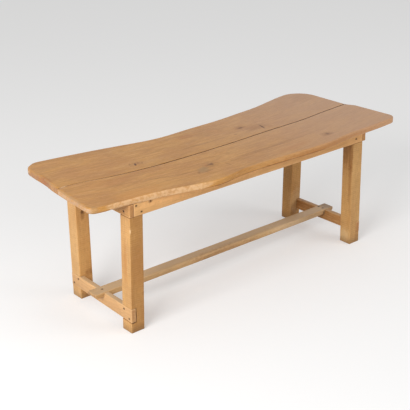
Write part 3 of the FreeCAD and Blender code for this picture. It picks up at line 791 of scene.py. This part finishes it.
# Dark bark streaks at the foot of the front rim; they also stand as painted shade where the plank meets the
# apron.
BARK_AND_SHADE_STREAKS = ((-0.36, 0.728, 0.12), (-0.16, 0.727, 0.10), (0.08, 0.729, 0.16), (0.32, 0.729, 0.14))
PLANK_SPOTS = {
    "front": (
        knot(0.560, -0.295, (0.016, 0.013), (0.050, 0.030), 0.50)
        + [on_top(-0.275, -0.232, 0.070, 0.045, 0.22, SMUDGE_AND_SHADE, 0.4),
           on_top(-0.269, -0.227, 0.024, 0.011, 0.55, HEART, 0.86),
           on_top(-0.287, -0.224, 0.020, 0.008, 0.40, HEART, 0.1),
           on_top(-0.305, -0.223, 0.016, 0.009, 0.50, RUDDY, 0.86),
           on_top(-0.355, -0.262, 0.050, 0.030, 0.55, OLIVE, 0.5),
           on_top(-0.400, -0.280, 0.016, 0.010, 0.50, SMUDGE_AND_SHADE, 0.86),
           on_top(-0.340, -0.290, 0.035, 0.008, 0.35, SMUDGE_AND_SHADE),
           on_top(-0.197, -0.280, 0.006, 0.036, 0.45, SMUDGE_AND_SHADE, 0.1),
           on_top(-0.590, -0.205, 0.080, 0.0035, 0.60, SMUDGE_AND_SHADE, -0.30),
           on_top(-0.480, -0.240, 0.110, 0.0040, 0.45, SMUDGE_AND_SHADE, -0.08),
           on_top(-0.824, -0.298, 0.170, 0.060, 0.35, AMBER),
           on_top(0.166, -0.240, 0.330, 0.020, 0.30, SMUDGE_AND_SHADE, 0.05),
           on_top(0.265, -0.325, 0.160, 0.030, 0.30, RUDDY, 0.1)]
        + [((x, -0.40, z), (reach, 0.06, 0.0050), 0.70, BARK_AND_SHADE) for x, z, reach in BARK_AND_SHADE_STREAKS]
        + [((0.55, -0.41, 0.740), (0.55, 0.06, 0.018), 0.55, BROWNED),
           # painted shade on the rounded front left corner, then a darker strip along the upper edge of the
           # left end
           ((-1.088, -0.307, 0.745), (0.026, 0.026, 0.03), 0.55, DARKER_END),
           ((-1.093, -0.120, TOP - 0.004), (0.012, 0.150, 0.006), 0.70, DARKER_END, -0.08)]),
    "rear": (
        knot(0.251, 0.115, (0.018, 0.010), (0.045, 0.028), 0.60)
        + [on_top(-0.575, 0.042, 0.060, 0.026, 0.28, SMUDGE_AND_SHADE),
           on_top(-0.580, 0.037, 0.019, 0.0070, 0.95, HEART, 1.05),
           on_top(-0.556, 0.046, 0.014, 0.007, 0.45, SMUDGE_AND_SHADE, 0.86),
           on_top(-0.535, 0.036, 0.014, 0.007, 0.45, SMUDGE_AND_SHADE, 0.86),
           on_top(-0.602, 0.058, 0.018, 0.006, 0.50, SMUDGE_AND_SHADE, 0.95),
           on_top(0.330, 0.060, 0.090, 0.045, 0.26, SMUDGE_AND_SHADE),
           on_top(0.365, 0.045, 0.0066, 0.038, 0.85, HEART, -0.25),
           on_top(0.409, 0.024, 0.022, 0.014, 0.35, RUDDY),
           on_top(0.156, 0.047, 0.022, 0.010, 0.50, SMUDGE_AND_SHADE, 0.2),
           on_top(-0.095, 0.206, 0.070, 0.035, 0.35, RUDDY),
           on_top(-0.068, 0.050, 0.200, 0.014, 0.28, SMUDGE_AND_SHADE),
           on_top(-0.860, 0.170, 0.160, 0.080, 0.08, RUDDY, -0.1),
           on_top(0.940, 0.278, 0.090, 0.090, 0.12, SMUDGE_AND_SHADE),
           ((-1.062, 0.185, TOP - 0.008), (0.026, 0.070, 0.03), 0.50, SPLINTERED),
           ((-1.062, 0.180, TOP - 0.004), (0.012, 0.160, 0.006), 0.60, DARKER_END, -0.10),
           ((-1.049, 0.352, TOP - 0.014), (0.012, 0.012, 0.010), 0.50, CHIPPED)]),
}
PLANK_KNOTS = {
    "front": [((-0.285, -0.22, TOP), 0.016), ((0.57, -0.30, TOP), 0.013)],
    "rear": [((-0.58, 0.039, TOP), 0.013), ((0.249, 0.113, TOP), 0.012), ((0.366, 0.05, TOP), 0.012)],
}
PLANK_PITH = {"front": (0, -0.15, 0.40), "rear": (0, 0.24, 0.36)}
PLANK_CUT_END = {"front": srgb(192, 152, 116), "rear": srgb(168, 124, 90)}
plank_finish = {
    which: wood("plank_wood_" + which, X, PLANK_HONEY, PLANK_DULL, PLANK_PITH[which], seed=seed,
                spots=PLANK_SPOTS[which], knots=PLANK_KNOTS[which], ring_gap=PLANK_RING, wear_and_glint_share=0.64,
                gloss=0.34, shine=0.13, painted_sheen=PLANK_PAINTED_SHEEN, end_share=1.0, bow=PLANK_BOW,
                cut_end=PLANK_CUT_END[which], bare_wood=RUBBED_FRONT, bare_end=RUBBED_END_AND_GLINT)
    for seed, which in ((0.0, "front"), (1.0, "rear"))
}

# %% [markdown]
# ## Rims and seam
# The rims of the top are rubbed where people sit and lean. Along the front, from near the left corner to the
# middle, the side of the plank is bare in a pale band. The left end is slanted and knocked: below the slant
# it is bare in patches, most of all near the front corner and where the two planks meet. The rear and the
# right end are crisp. The seam is a dark open line that closes towards the left end, where a short piece of
# the joint gets a painted glint, and the rear plank has lost a splinter from that end. A bevel of one width
# couldn't show this, so a few functions of the place on the rim say how far it is worn there and where the
# glint is painted.

# %% Rims and seam
RIM_EASE, UNDER_EASE, SEAM_EASE, SEAM_UNDER_EASE = 0.0025, 0.004, 0.0008, 0.001
RIM_MARGIN, RIM_REACH, SEAM_REACH, SEAM_CLOSES = 0.006, 0.04, 0.009, 0.0034
BARE_FROM, BARE_TO, JOINT_FROM, JOINT_TO = -1.05, -0.34, -1.07, -1.02
BARE_CHIP_SHARE, BARE_SPOT_SHARE = 0.22, 0.3
SPLINTER_AT, SPLINTER_REACH, SPLINTER_DEPTH = Vector((-1.066, 0.175, 0.748)), 0.055, 0.009
SPLINTER_SHAPE = Vector((1, 0.55, 1.6))
BARE_SPOTS = ((Vector((-1.09, -0.31, 0.76)), 0.13), (Vector((-1.10, -0.03, 0.76)), 0.11))
ROUNDED_CORNER, ROUNDED_REACH, ROUNDED_BELOW = Vector((-1.05, -0.37, 0.76)), 0.26, 0.010


def touching(x):
    """One where the planks meet at the left end of the seam, and nothing along the rest of it."""
    return soft_step((JOINT_TO - x) / 0.04)


def joint_glint(x):
    """One along the short piece of the seam, just inside the left end, that gets a painted glint."""
    return soft_step((JOINT_TO - x) / 0.02) * soft_step((x - JOINT_FROM) / 0.02)


def rim_state(place, inward):
    """The width of the slant at a place on the rim, how bare it is, and where that starts and stops."""
    front, left = max(0, inward.y), max(0, inward.x)
    slow = 0.5 + 0.5 * noise.noise(place * 8 + Vector((3, 1, 0)))
    chips = soft_step((noise.noise(place * 24 + Vector((1, 5, 0))) + 0.12) / 0.35)
    sat_at = soft_step((place.x - BARE_FROM) / 0.07) * soft_step((BARE_TO - place.x) / 0.20)
    near_spots = [soft_step(1.3 - (place - at).length / reach) for at, reach in BARE_SPOTS]
    bare_end = max(BARE_CHIP_SHARE * chips, BARE_SPOT_SHARE * max(near_spots))
    width = 0.002 + front * (0.002 + 0.002 * sat_at * slow) + left * (0.006 + 0.005 * chips)
    bare = max(front * (0.15 + 0.85 * sat_at) * (0.65 + 0.35 * slow), left * bare_end)
    start = max(0, left - front) * 0.006
    depth = front * (0.006 + 0.026 * sat_at) + left * 0.030
    return width, bare, start, depth


print("the front is bare from", BARE_FROM, "to", BARE_TO, "m along the table")

# %% [markdown]
# ## Shaping the planks
# The blanks are eased along their rims, less at the seam, and cut into cells that are finer in height. Then
# the points are weathered, and those outside the slant of the rim are carried back onto it, half inwards and
# half down. At the front left corner the lower rim is rounded in the same way. The seam could be closed by
# moving the whole rear plank, but only its left end touches, so only the points near the seam are moved.

# %% Planks
CORNER_EASE, UPRIGHT = 0.0015, 0.01
PLANK_CELLS = ((X, 0.010), (Y, 0.010), (Z, 0.005))
CLOSES_FROM, CLOSES_OVER, CLOSES_REACH = -0.55, 0.45, 0.05
UP = Vector((0, 0, 1))


def make_plank(which, other, seed):
    node = "top_plank_" + which
    under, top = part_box(node)[0].z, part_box(node)[1].z
    bm = plank_blanks[which]

    def at_seam(place):
        return plank_arrises[other].find(place)[2] < SEAM_REACH

    ease(bm, [e for e in sharp_edges(bm) if abs(e.verts[0].co.z - e.verts[1].co.z) > UPRIGHT], CORNER_EASE, 2)
    for height, rim, seam in ((top, RIM_EASE, SEAM_EASE), (under, UNDER_EASE, SEAM_UNDER_EASE)):
        for wanted, width, rounds in ((False, rim, 4), (True, seam, 2)):
            level_edges = [e for e in sharp_edges(bm) if all(abs(v.co.z - height) < 1e-4 for v in e.verts)]
            chosen = [e for e in level_edges if at_seam((e.verts[0].co + e.verts[1].co) / 2) == wanted]
            ease(bm, chosen, width, rounds)
    face = max(bm.faces, key=lambda f: f.calc_area() * (f.normal.z > 0.9))
    bmesh.ops.inset_region(bm, faces=[face], thickness=RIM_MARGIN, use_even_offset=True)
    for axis, step in PLANK_CELLS:
        cut_cells(bm, axis, step)
    worn_and_glint, dirt = bm.verts.layers.float.new("wear_and_glint"), bm.verts.layers.float.new("dirt")
    for v in bm.verts:
        if at_seam(v.co) and v.co.z < top - SEAM_EASE / 8:
            v[dirt] = 1 - touching(v.co.x)
    weather(bm, plank_arrises[which], X, seed, bite=0.0008)
    for v in bm.verts:
        v.co.z = min(v.co.z, top)
    rim, inward = plank_rims[which]
    for v in bm.verts:
        point, index, away = rim.find(v.co)
        v[worn_and_glint] = 0.0
        if at_seam(v.co):
            # a painted glint on a short piece of the seam, carried by the wear attribute
            v[worn_and_glint] = 0.9 * joint_glint(v.co.x)
        elif away < RIM_REACH and not at_seam(point):
            width, bare, start, depth = rim_state(point, inward[index])
            into, down = (v.co - point).dot(inward[index]), top - v.co.z
            lost = width - into - down
            if lost > 0:
                v.co += (inward[index] - UP) * (lost / 2)
            rounded = ROUNDED_BELOW * soft_step(1.4 - (point - ROUNDED_CORNER).length / ROUNDED_REACH)
            lost = rounded - into - (v.co.z - under)
            if lost > 0:
                v.co += (inward[index] + UP) * (lost / 2)
            v[worn_and_glint] = (bare * soft_step((width + 0.0015 - into) / 0.003)
                       * soft_step((depth + 0.003 - down) / 0.006)
                       * soft_step((down + 0.003 - start) / 0.003))
    for v in bm.verts if which == "rear" else ():
        away = (v.co - SPLINTER_AT) * SPLINTER_SHAPE
        loss = soft_step(1.25 - away.length / SPLINTER_REACH) * (0.7 + 0.3 * noise.noise(v.co * 60))
        v.co.x += SPLINTER_DEPTH * loss
        near_seam = soft_step(1 - plank_arrises[other].find(v.co)[2] / CLOSES_REACH)
        v.co.y -= SEAM_CLOSES * soft_step((CLOSES_FROM - v.co.x) / CLOSES_OVER) * near_seam
    hand_over(bm, node, plank_finish[which], "plank_wood", node)


make_plank("front", "rear", 1.0)
make_plank("rear", "front", 2.0)

# %% [markdown]
# ## The long stretcher
# One bar ties the two ends together. Each of its ends is thinned to a tongue that lies in a notch of the foot
# rail. A bar as long as the part between the shoulders is made first, its end faces are split at the height
# of the tongue, and the upper part of each is extruded outwards. A Boolean could saw the tongues out of a
# longer bar, but extruded ends are clean enough to be bevelled.
# The bar was sawn from near the bark, so its front upper arris is waney: the wood is missing along a slant
# of changing width. Points in front of that slant are carried back onto it.

# %% Stretcher
FOOT_WORN, GRIME, SCUFFED = srgb(200, 170, 130), srgb(122, 96, 74), srgb(218, 190, 154)
stretcher_finish = wood("stretcher_wood", X, srgb(204, 164, 112), srgb(184, 146, 100), (0, 0.2, 0.0),
                        seed=5.0, spots=stains("tongue_nails_left") + stains("tongue_nails_right", wide=1.4)
                        + [((0.870, -0.04, 0.137), (0.055, 0.06, 0.03), 0.7, GRIME),
                           ((0.806, -0.075, 0.115), (0.005, 0.03, 0.02), 0.90, RUST),
                           ((-0.05, -0.06, 0.10), (0.34, 0.04, 0.05), 0.50, SMUDGE_AND_SHADE),
                           ((0.58, -0.05, 0.12), (0.30, 0.06, 0.06), 0.55, SCUFFED)],
                        faces=[((0, 0, 1), FOOT_WORN, 0.75)], end_share=0.85, wear_and_glint_share=0.2,
                        cut_end=srgb(158, 110, 70))
stretcher_run = run_of("long_stretcher", X, *LONG_CUTS)
TONGUE_SHARE, TONGUE_BEVEL, WANE_WIDTH, FULL_DEPTH = 0.21, 0.010, 0.022, 0.002
STRETCHER_ARRIS, STRETCHER_CELLS = 0.003, ((X, 0.010), (Y, 0.006), (Z, 0.006))


def shoulder_places(node):
    """Where the full depth of the bar starts and stops."""
    points = np.array([v.co[:] for v in nodes[node].data.vertices])
    first, last = stretcher_run[0][0], stretcher_run[1][0]
    share = (points[:, X] - first[X]) / (last[X] - first[X])
    bottom = first[Z] + (last[Z] - first[Z]) * share
    full = points[points[:, Z] < bottom + FULL_DEPTH, X]
    return full.min(), full.max()


def wane_at(x):
    """The width of the missing wood at a place along the bar."""
    along = noise.noise(Vector((x * 2.3, 4.2, 0))) * 0.5 + noise.noise(Vector((x * 7.0, 1.7, 0))) * 0.2
    inside = soft_step((0.70 - abs(x + 0.02)) / 0.25)
    return WANE_WIDTH * inside * min(1, max(0.15, 0.55 + along))


shoulders = shoulder_places("long_stretcher")
bm, low, high = straight_bar(stretcher_run, X)
for v in bm.verts:
    v.co.x = shoulders[0] if v.co.x < 0 else shoulders[1]
tongue_under = low[Z] + TONGUE_SHARE * (high[Z] - low[Z])
bmesh.ops.bisect_plane(bm, geom=everything(bm), plane_co=(0, 0, tongue_under), plane_no=(0, 0, 1))
bmesh.ops.recalc_face_normals(bm, faces=bm.faces)
for sign, reach in ((-1, low[X] - shoulders[0]), (1, high[X] - shoulders[1])):
    face = [f for f in bm.faces if f.normal.x * sign > 0.9 and f.calc_center_median().z > tongue_under]
    grown = bmesh.ops.extrude_face_region(bm, geom=face)["geom"]
    bmesh.ops.delete(bm, geom=[f for f in face if f.is_valid], context="FACES_ONLY")
    bmesh.ops.translate(bm, verts=[v for v in grown if isinstance(v, bmesh.types.BMVert)], vec=(reach, 0, 0))
bmesh.ops.recalc_face_normals(bm, faces=bm.faces)
arrises = arris_tree(bm)


def under_tip(v):
    return min(abs(v.co.x - low[X]), abs(v.co.x - high[X])) < MERGE and abs(v.co.z - tongue_under) < MERGE


ease(bm, [e for e in sharp_edges(bm) if all(under_tip(v) for v in e.verts)], TONGUE_BEVEL, 1)
ease(bm, [e for e in sharp_edges(bm) if e.is_convex], STRETCHER_ARRIS)
for axis, step in STRETCHER_CELLS:
    cut_cells(bm, axis, step)
weather(bm, arrises, X, 31.0, dip=0.0008, bite=0.0016)
for v in bm.verts:
    lost = wane_at(v.co.x) - (v.co.y - low[Y]) - (high[Z] - v.co.z)
    if lost > 0:
        v.co.y += lost / 2
        v.co.z -= lost / 2
lay_along(bm, stretcher_run, X, low, high)
print("shoulders at", [round(x, 4) for x in shoulders], "closed", all(e.is_manifold for e in bm.edges))
hand_over(bm, "long_stretcher", stretcher_finish, "stretcher_wood", "long_stretcher")

# %% [markdown]
# ## Aprons, end rails, foot rails and bearer
# These are sawn bars that are nailed to the legs. The aprons and end rails lie flat under the top, the foot
# rails are let into the legs near the floor, and the bearer crosses under the middle of the top.
# Each is a straight bar that is eased, cut into cells, weathered and then laid along its run. One function
# makes them all, because only the direction, the finish and the cuts differ. The aprons get a gouged pocket
# for each nail that is driven up into the top, and the foot rails a notch for a tongue.

# %% Bars
RAIL_PITH, PAINTED_LIGHT = (0.1, 0, 0.45), srgb(255, 195, 128)
BAR_CELL, NOTCH_ROOM, NOTCH_SEAT = 0.010, 0.0009, 0.0002
POCKET_RADIUS, POCKET_FLARE, POCKET_REACH, POCKET_SEAT = 0.0066, 1.3, 0.030, 0.003
# The pale streak along the top of the front apron is painted light against the shade under the overhanging
# plank.
apron_finish = wood("apron_wood", X, srgb(228, 174, 112), srgb(212, 158, 98), (0, 0.1, 0.30), seed=2.0,
                    spots=stains("apron_nails_front", "apron_nails_rear",
                                 "bearer_end_nail_front", "bearer_end_nail_rear")
                    + stains("top_nails_front", "top_nails_rear", wide=1.5)
                    + [((0.50, -0.33, 0.69), (0.45, 0.06, 0.06), 0.16, BROWNED),
                       ((-0.35, -0.33, 0.705), (0.55, 0.06, 0.030), 0.55, PAINTED_LIGHT)])
rail_finish = wood("rail_wood", Y, srgb(194, 142, 84), srgb(172, 124, 72), RAIL_PITH, seed=3.0, end_share=0.6,
                   spots=stains("end_rail_nails_left", "end_rail_nails_right", "bearer_top_nails"))
foot_rail_finish = {
    "left": wood("foot_rail_wood_left", Y, srgb(214, 167, 114), srgb(196, 148, 98), RAIL_PITH, seed=6.0,
                 spots=stains("foot_rail_nails_left"), faces=[((0, 0, 1), FOOT_WORN, 0.85)], end_share=0.85,
                 cut_end=srgb(180, 128, 80)),
    # The right foot rail is darker than the left one as painted shade under the table, and its smudge towards
    # the rear leg is painted shade too.
    "right": wood("foot_rail_wood_right", Y, srgb(186, 134, 78), srgb(164, 114, 64), RAIL_PITH, seed=7.0,
                  spots=stains("foot_rail_nails_right")
                  + [((0.79, 0.10, 0.12), (0.24, 0.06, 0.06), 0.4, SMUDGE_AND_SHADE)],
                  faces=[((0, 0, 1), FOOT_WORN, 0.5)], end_share=0.3),
}

bar_runs = {name: run_of(name, X, *LONG_CUTS) for name in ("apron_front", "apron_rear")}
bar_runs.update({name: run_of(name, Y, *SHORT_CUTS) for name in (
    "end_rail_left", "end_rail_right", "foot_rail_left", "foot_rail_right", "cross_bearer")})


def make_bar(name, axis, finish, arris, seed, cutters=()):
    run = bar_runs[name]
    bm, low, high = straight_bar(run, axis)
    arrises = arris_tree(bm)
    ease(bm, bm.edges[:], arris)
    for across in (X, Y, Z):
        cut_cells(bm, across, BAR_CELL)
    weather(bm, arrises, axis, seed)
    lay_along(bm, run, axis, low, high)
    if cutters:
        bm = cut_housings(bm, cutters)
    hand_over(bm, name, finish, "rail_wood", name)


def pockets(group):
    """A flared gouge round the head of each nail of the group."""
    gouges = []
    for head, axis, length in nails[group]:
        bm = bmesh.new()
        seat = head - axis * POCKET_SEAT
        turn = axis.to_track_quat("Z", "Y").to_matrix().to_4x4()
        bmesh.ops.create_cone(bm, cap_ends=True, segments=14, radius1=POCKET_RADIUS,
                              radius2=POCKET_RADIUS * POCKET_FLARE, depth=POCKET_REACH,
                              matrix=Matrix.Translation(seat + axis * (POCKET_REACH / 2)) @ turn)
        gouges.append(bm)
    return gouges


def tongue_notch():
    """The space that the tongues take: the upper part of the stretcher, from end to end."""
    bm = block_of(stretcher_run, X, NOTCH_ROOM)
    middle = sum(v.co.z for v in bm.verts) / len(bm.verts)
    for v in bm.verts:
        if v.co.z < middle:
            v.co.z += TONGUE_SHARE * (stretcher_run[0][1][Z] - stretcher_run[0][0][Z]) - NOTCH_SEAT
    return bm


make_bar("apron_front", X, apron_finish, 0.003, 3.0, pockets("top_nails_front"))
make_bar("apron_rear", X, apron_finish, 0.003, 4.0, pockets("top_nails_rear"))
make_bar("end_rail_left", Y, rail_finish, 0.004, 5.0)
make_bar("end_rail_right", Y, rail_finish, 0.004, 6.0)
make_bar("foot_rail_left", Y, foot_rail_finish["left"], 0.003, 7.0, [tongue_notch()])
make_bar("foot_rail_right", Y, foot_rail_finish["right"], 0.003, 8.0, [tongue_notch()])
make_bar("cross_bearer", Y, rail_finish, 0.003, 9.0)

# %% [markdown]
# ## The legs
# The legs are squared posts, each a little out of plumb. The aprons and the left end rail are let into their
# outer faces at the top, the right end rail is planted on the outside, and the foot rails are let in near the
# floor. Each leg is shaped as a plain post and only then housed for the bars that cross it: the other way
# round, the housings would be worn like the arrises, and they are fresh cuts that no hand has rubbed.

# %% Legs
LEG_ARRIS, LEG_CELL, JOINT_SHARE = 0.0028, 0.010, 0.80
# The pale colour lightens faces towards the window as painted light and also marks a chip; the brown one
# darkens faces as painted shade.
LIT_FACE_AND_CHIP, SHADED, FOOT_PALE = srgb(240, 204, 156), srgb(150, 100, 50), srgb(222, 190, 142)
rail_end_low, rail_end_high = bar_runs["foot_rail_left"][0]
rail_end_middle = (rail_end_low + rail_end_high) / 2
OPEN_JOINT = [((rail_end_high[X] + 0.001, rail_end_low[Y], rail_end_middle[Z]),
               (0.045, 0.0030, 0.02), JOINT_SHARE, HEART),
              ((rail_end_middle[X], rail_end_low[Y], rail_end_low[Z] - 0.001),
               (0.0035, 0.020, 0.02), JOINT_SHARE, HEART)]
# Each leg's face tints are painted light and shade: brown darkens faces that lie in shade, the pale colour
# lightens the faces towards the window and also marks a chip at the front left corner, and amber lifts the
# front of the rear left leg. The two smudge spots along the inner face of the front right leg and the one low
# on the front of the rear left leg are painted shadow.
leg_woods = {
    "front_left": dict(honey=srgb(201, 148, 82), dull=srgb(182, 129, 70),
                       faces=[((0, -1, 0), SHADED, 0.28), ((-1, 0, 0), LIT_FACE_AND_CHIP, 0.12)],
                       spots=[((-0.893, -0.280, 0.39), (0.14, 0.02, 0.018), 0.50, BROWNED),
                              ((-0.850, -0.327, 0.35), (0.14, 0.06, 0.02), 0.16, BROWNED),
                              ((-0.893, -0.327, 0.583), (0.016, 0.005, 0.005), 0.90, LIT_FACE_AND_CHIP),
                              *OPEN_JOINT]),
    "front_right": dict(honey=srgb(206, 158, 96), dull=srgb(186, 138, 80), faces=[((-1, 0, 0), SHADED, 0.05)],
                        spots=[((0.758, -0.29, 0.62), (0.18, 0.007, 0.10), 0.62, SMUDGE_AND_SHADE),
                               ((0.760, -0.318, 0.42), (0.20, 0.008, 0.018), 0.40, SMUDGE_AND_SHADE),
                               ((0.826, -0.330, 0.035), (0.035, 0.022, 0.008), 0.45, SMUDGE_AND_SHADE),
                               ((0.763, -0.29, 0.050), (0.050, 0.012, 0.05), 0.45, FOOT_PALE)]),
    "rear_left": dict(honey=srgb(210, 162, 102), dull=srgb(194, 144, 86),
                      faces=[((0, -1, 0), AMBER, 0.18), ((-1, 0, 0), LIT_FACE_AND_CHIP, 0.06)],
                      spots=[((-0.851, 0.166, 0.505), (0.036, 0.014, 0.02), 0.75, SMUDGE_AND_SHADE),
                             ((-0.851, 0.166, 0.518), (0.011, 0.010, 0.02), 0.7, HEART),
                             ((-0.830, 0.165, 0.040), (0.045, 0.050, 0.03), 0.40, SMUDGE_AND_SHADE),
                             ((-0.822, 0.165, 0.150), (0.024, 0.032, 0.03), 0.50, SMUDGE_AND_SHADE)]),
    "rear_right": dict(honey=srgb(196, 146, 80), dull=srgb(176, 126, 66), faces=[((-1, 0, 0), SHADED, 0.12)],
                       spots=[((0.80, 0.165, 0.12), (0.09, 0.06, 0.03), 0.40, FOOT_WORN),
                              ((0.80, 0.165, 0.03), (0.04, 0.06, 0.03), 0.40, SMUDGE_AND_SHADE)]),
}
for seed, corner in enumerate(leg_runs):
    front_or_rear, left_or_right = corner.split("_")
    bm, low, high = straight_bar(leg_runs[corner], Z)
    arrises = arris_tree(bm)
    ease(bm, bm.edges[:], LEG_ARRIS)
    for axis in (X, Y, Z):
        cut_cells(bm, axis, LEG_CELL)
    weather(bm, arrises, Z, 20.0 + seed, bite=0.0010, reach=0.007)
    lay_along(bm, leg_runs[corner], Z, low, high)
    bm = cut_housings(bm, [block_of(bar_runs["apron_" + front_or_rear], X),
                           block_of(bar_runs["end_rail_" + left_or_right], Y),
                           block_of(bar_runs["foot_rail_" + left_or_right], Y)])
    finish = wood("leg_wood_" + corner, Z, pith=(0.0, 0.0, 0), seed=4.0 + seed, sawn=0.22, figure=0.5,
                  darker_foot=0.42, wear_and_glint_share=0.18, mottle=0.10, **leg_woods[corner])
    hand_over(bm, "leg_" + corner, finish, "leg_wood", "leg_" + corner)

# %% [markdown]
# ## Rusted iron
# The nails are black from the forge and have rusted in patches. One fine noise steers the colour, the gloss
# and the metal together, so that a rusty patch is brown, dull and rough at once. A flat dark colour would
# make the heads look like holes.

# %% Iron finish
RUST_WAVES = 420
FORGED, RUSTED = srgb(38, 24, 15), srgb(80, 46, 22)
iron = Finish("rusted_iron")
rust = iron.noise(iron.vector("MULTIPLY", iron.place, [RUST_WAVES] * 3), detail=4.0).outputs["Fac"]
iron.feed(iron.shader.inputs["Base Color"], iron.blend(iron.ramp(rust, 0.40, 0.66), FORGED, RUSTED))
iron.feed(iron.shader.inputs["Roughness"], iron.ramp(rust, 0.3, 0.7, 0.55, 0.9))
iron.feed(iron.shader.inputs["Metallic"], iron.ramp(rust, 0.45, 0.62, 0.15, 0.0))
iron.feed(iron.shader.inputs["Specular IOR Level"], 0.15)
iron.feed(iron.shader.inputs["Normal"],
          iron.add("Bump", ("Strength", 0.5), ("Distance", 0.0004), ("Height", rust)).outputs[0])
print("rusted_iron", len(iron.tree.nodes), "nodes")

# %% [markdown]
# ## Forged nails
# A forged nail has a low head with a few hammer facets and a square shank. A turned profile would be too
# round, so a cone with eight sides makes the head, and a small jitter of its points keeps any two from
# looking alike.

# %% Nails
HEAD_RADIUS, HEAD_HEIGHT, SHANK_RADIUS = 0.005, 0.0024, 0.0028


def forge(bm, head, axis, length, hand):
    turn = axis.to_track_quat("Z", "Y").to_matrix().to_4x4()
    spin = Matrix.Rotation(hand.uniform(0, math.pi), 4, "Z")
    at_head = Matrix.Translation(head - axis * (HEAD_HEIGHT / 2)) @ turn @ spin
    cap = bmesh.ops.create_cone(bm, cap_ends=True, segments=8, radius1=HEAD_RADIUS, radius2=HEAD_RADIUS * 0.4,
                                depth=HEAD_HEIGHT, matrix=at_head)["verts"]
    for v in cap:
        out = v.co - head
        v.co += (out - axis * out.dot(axis)) * hand.uniform(-0.14, 0.04) - axis * hand.uniform(0, 0.0004)
    depth = length - HEAD_HEIGHT
    at_shank = Matrix.Translation(head - axis * (HEAD_HEIGHT + depth / 2 - 0.0002)) @ turn @ spin
    bmesh.ops.create_cone(bm, cap_ends=True, segments=4, radius1=SHANK_RADIUS * 0.25, radius2=SHANK_RADIUS,
                          depth=depth, matrix=at_shank)


hand = random.Random(7)
for group, found in nails.items():
    bm = bmesh.new()
    for head, axis, length in found:
        forge(bm, head, axis, length, hand)
    bmesh.ops.recalc_face_normals(bm, faces=bm.faces)
    hand_over(bm, group, iron.material, "iron", group)
print(sum(len(found) for found in nails.values()), "nails in", len(nails), "groups")
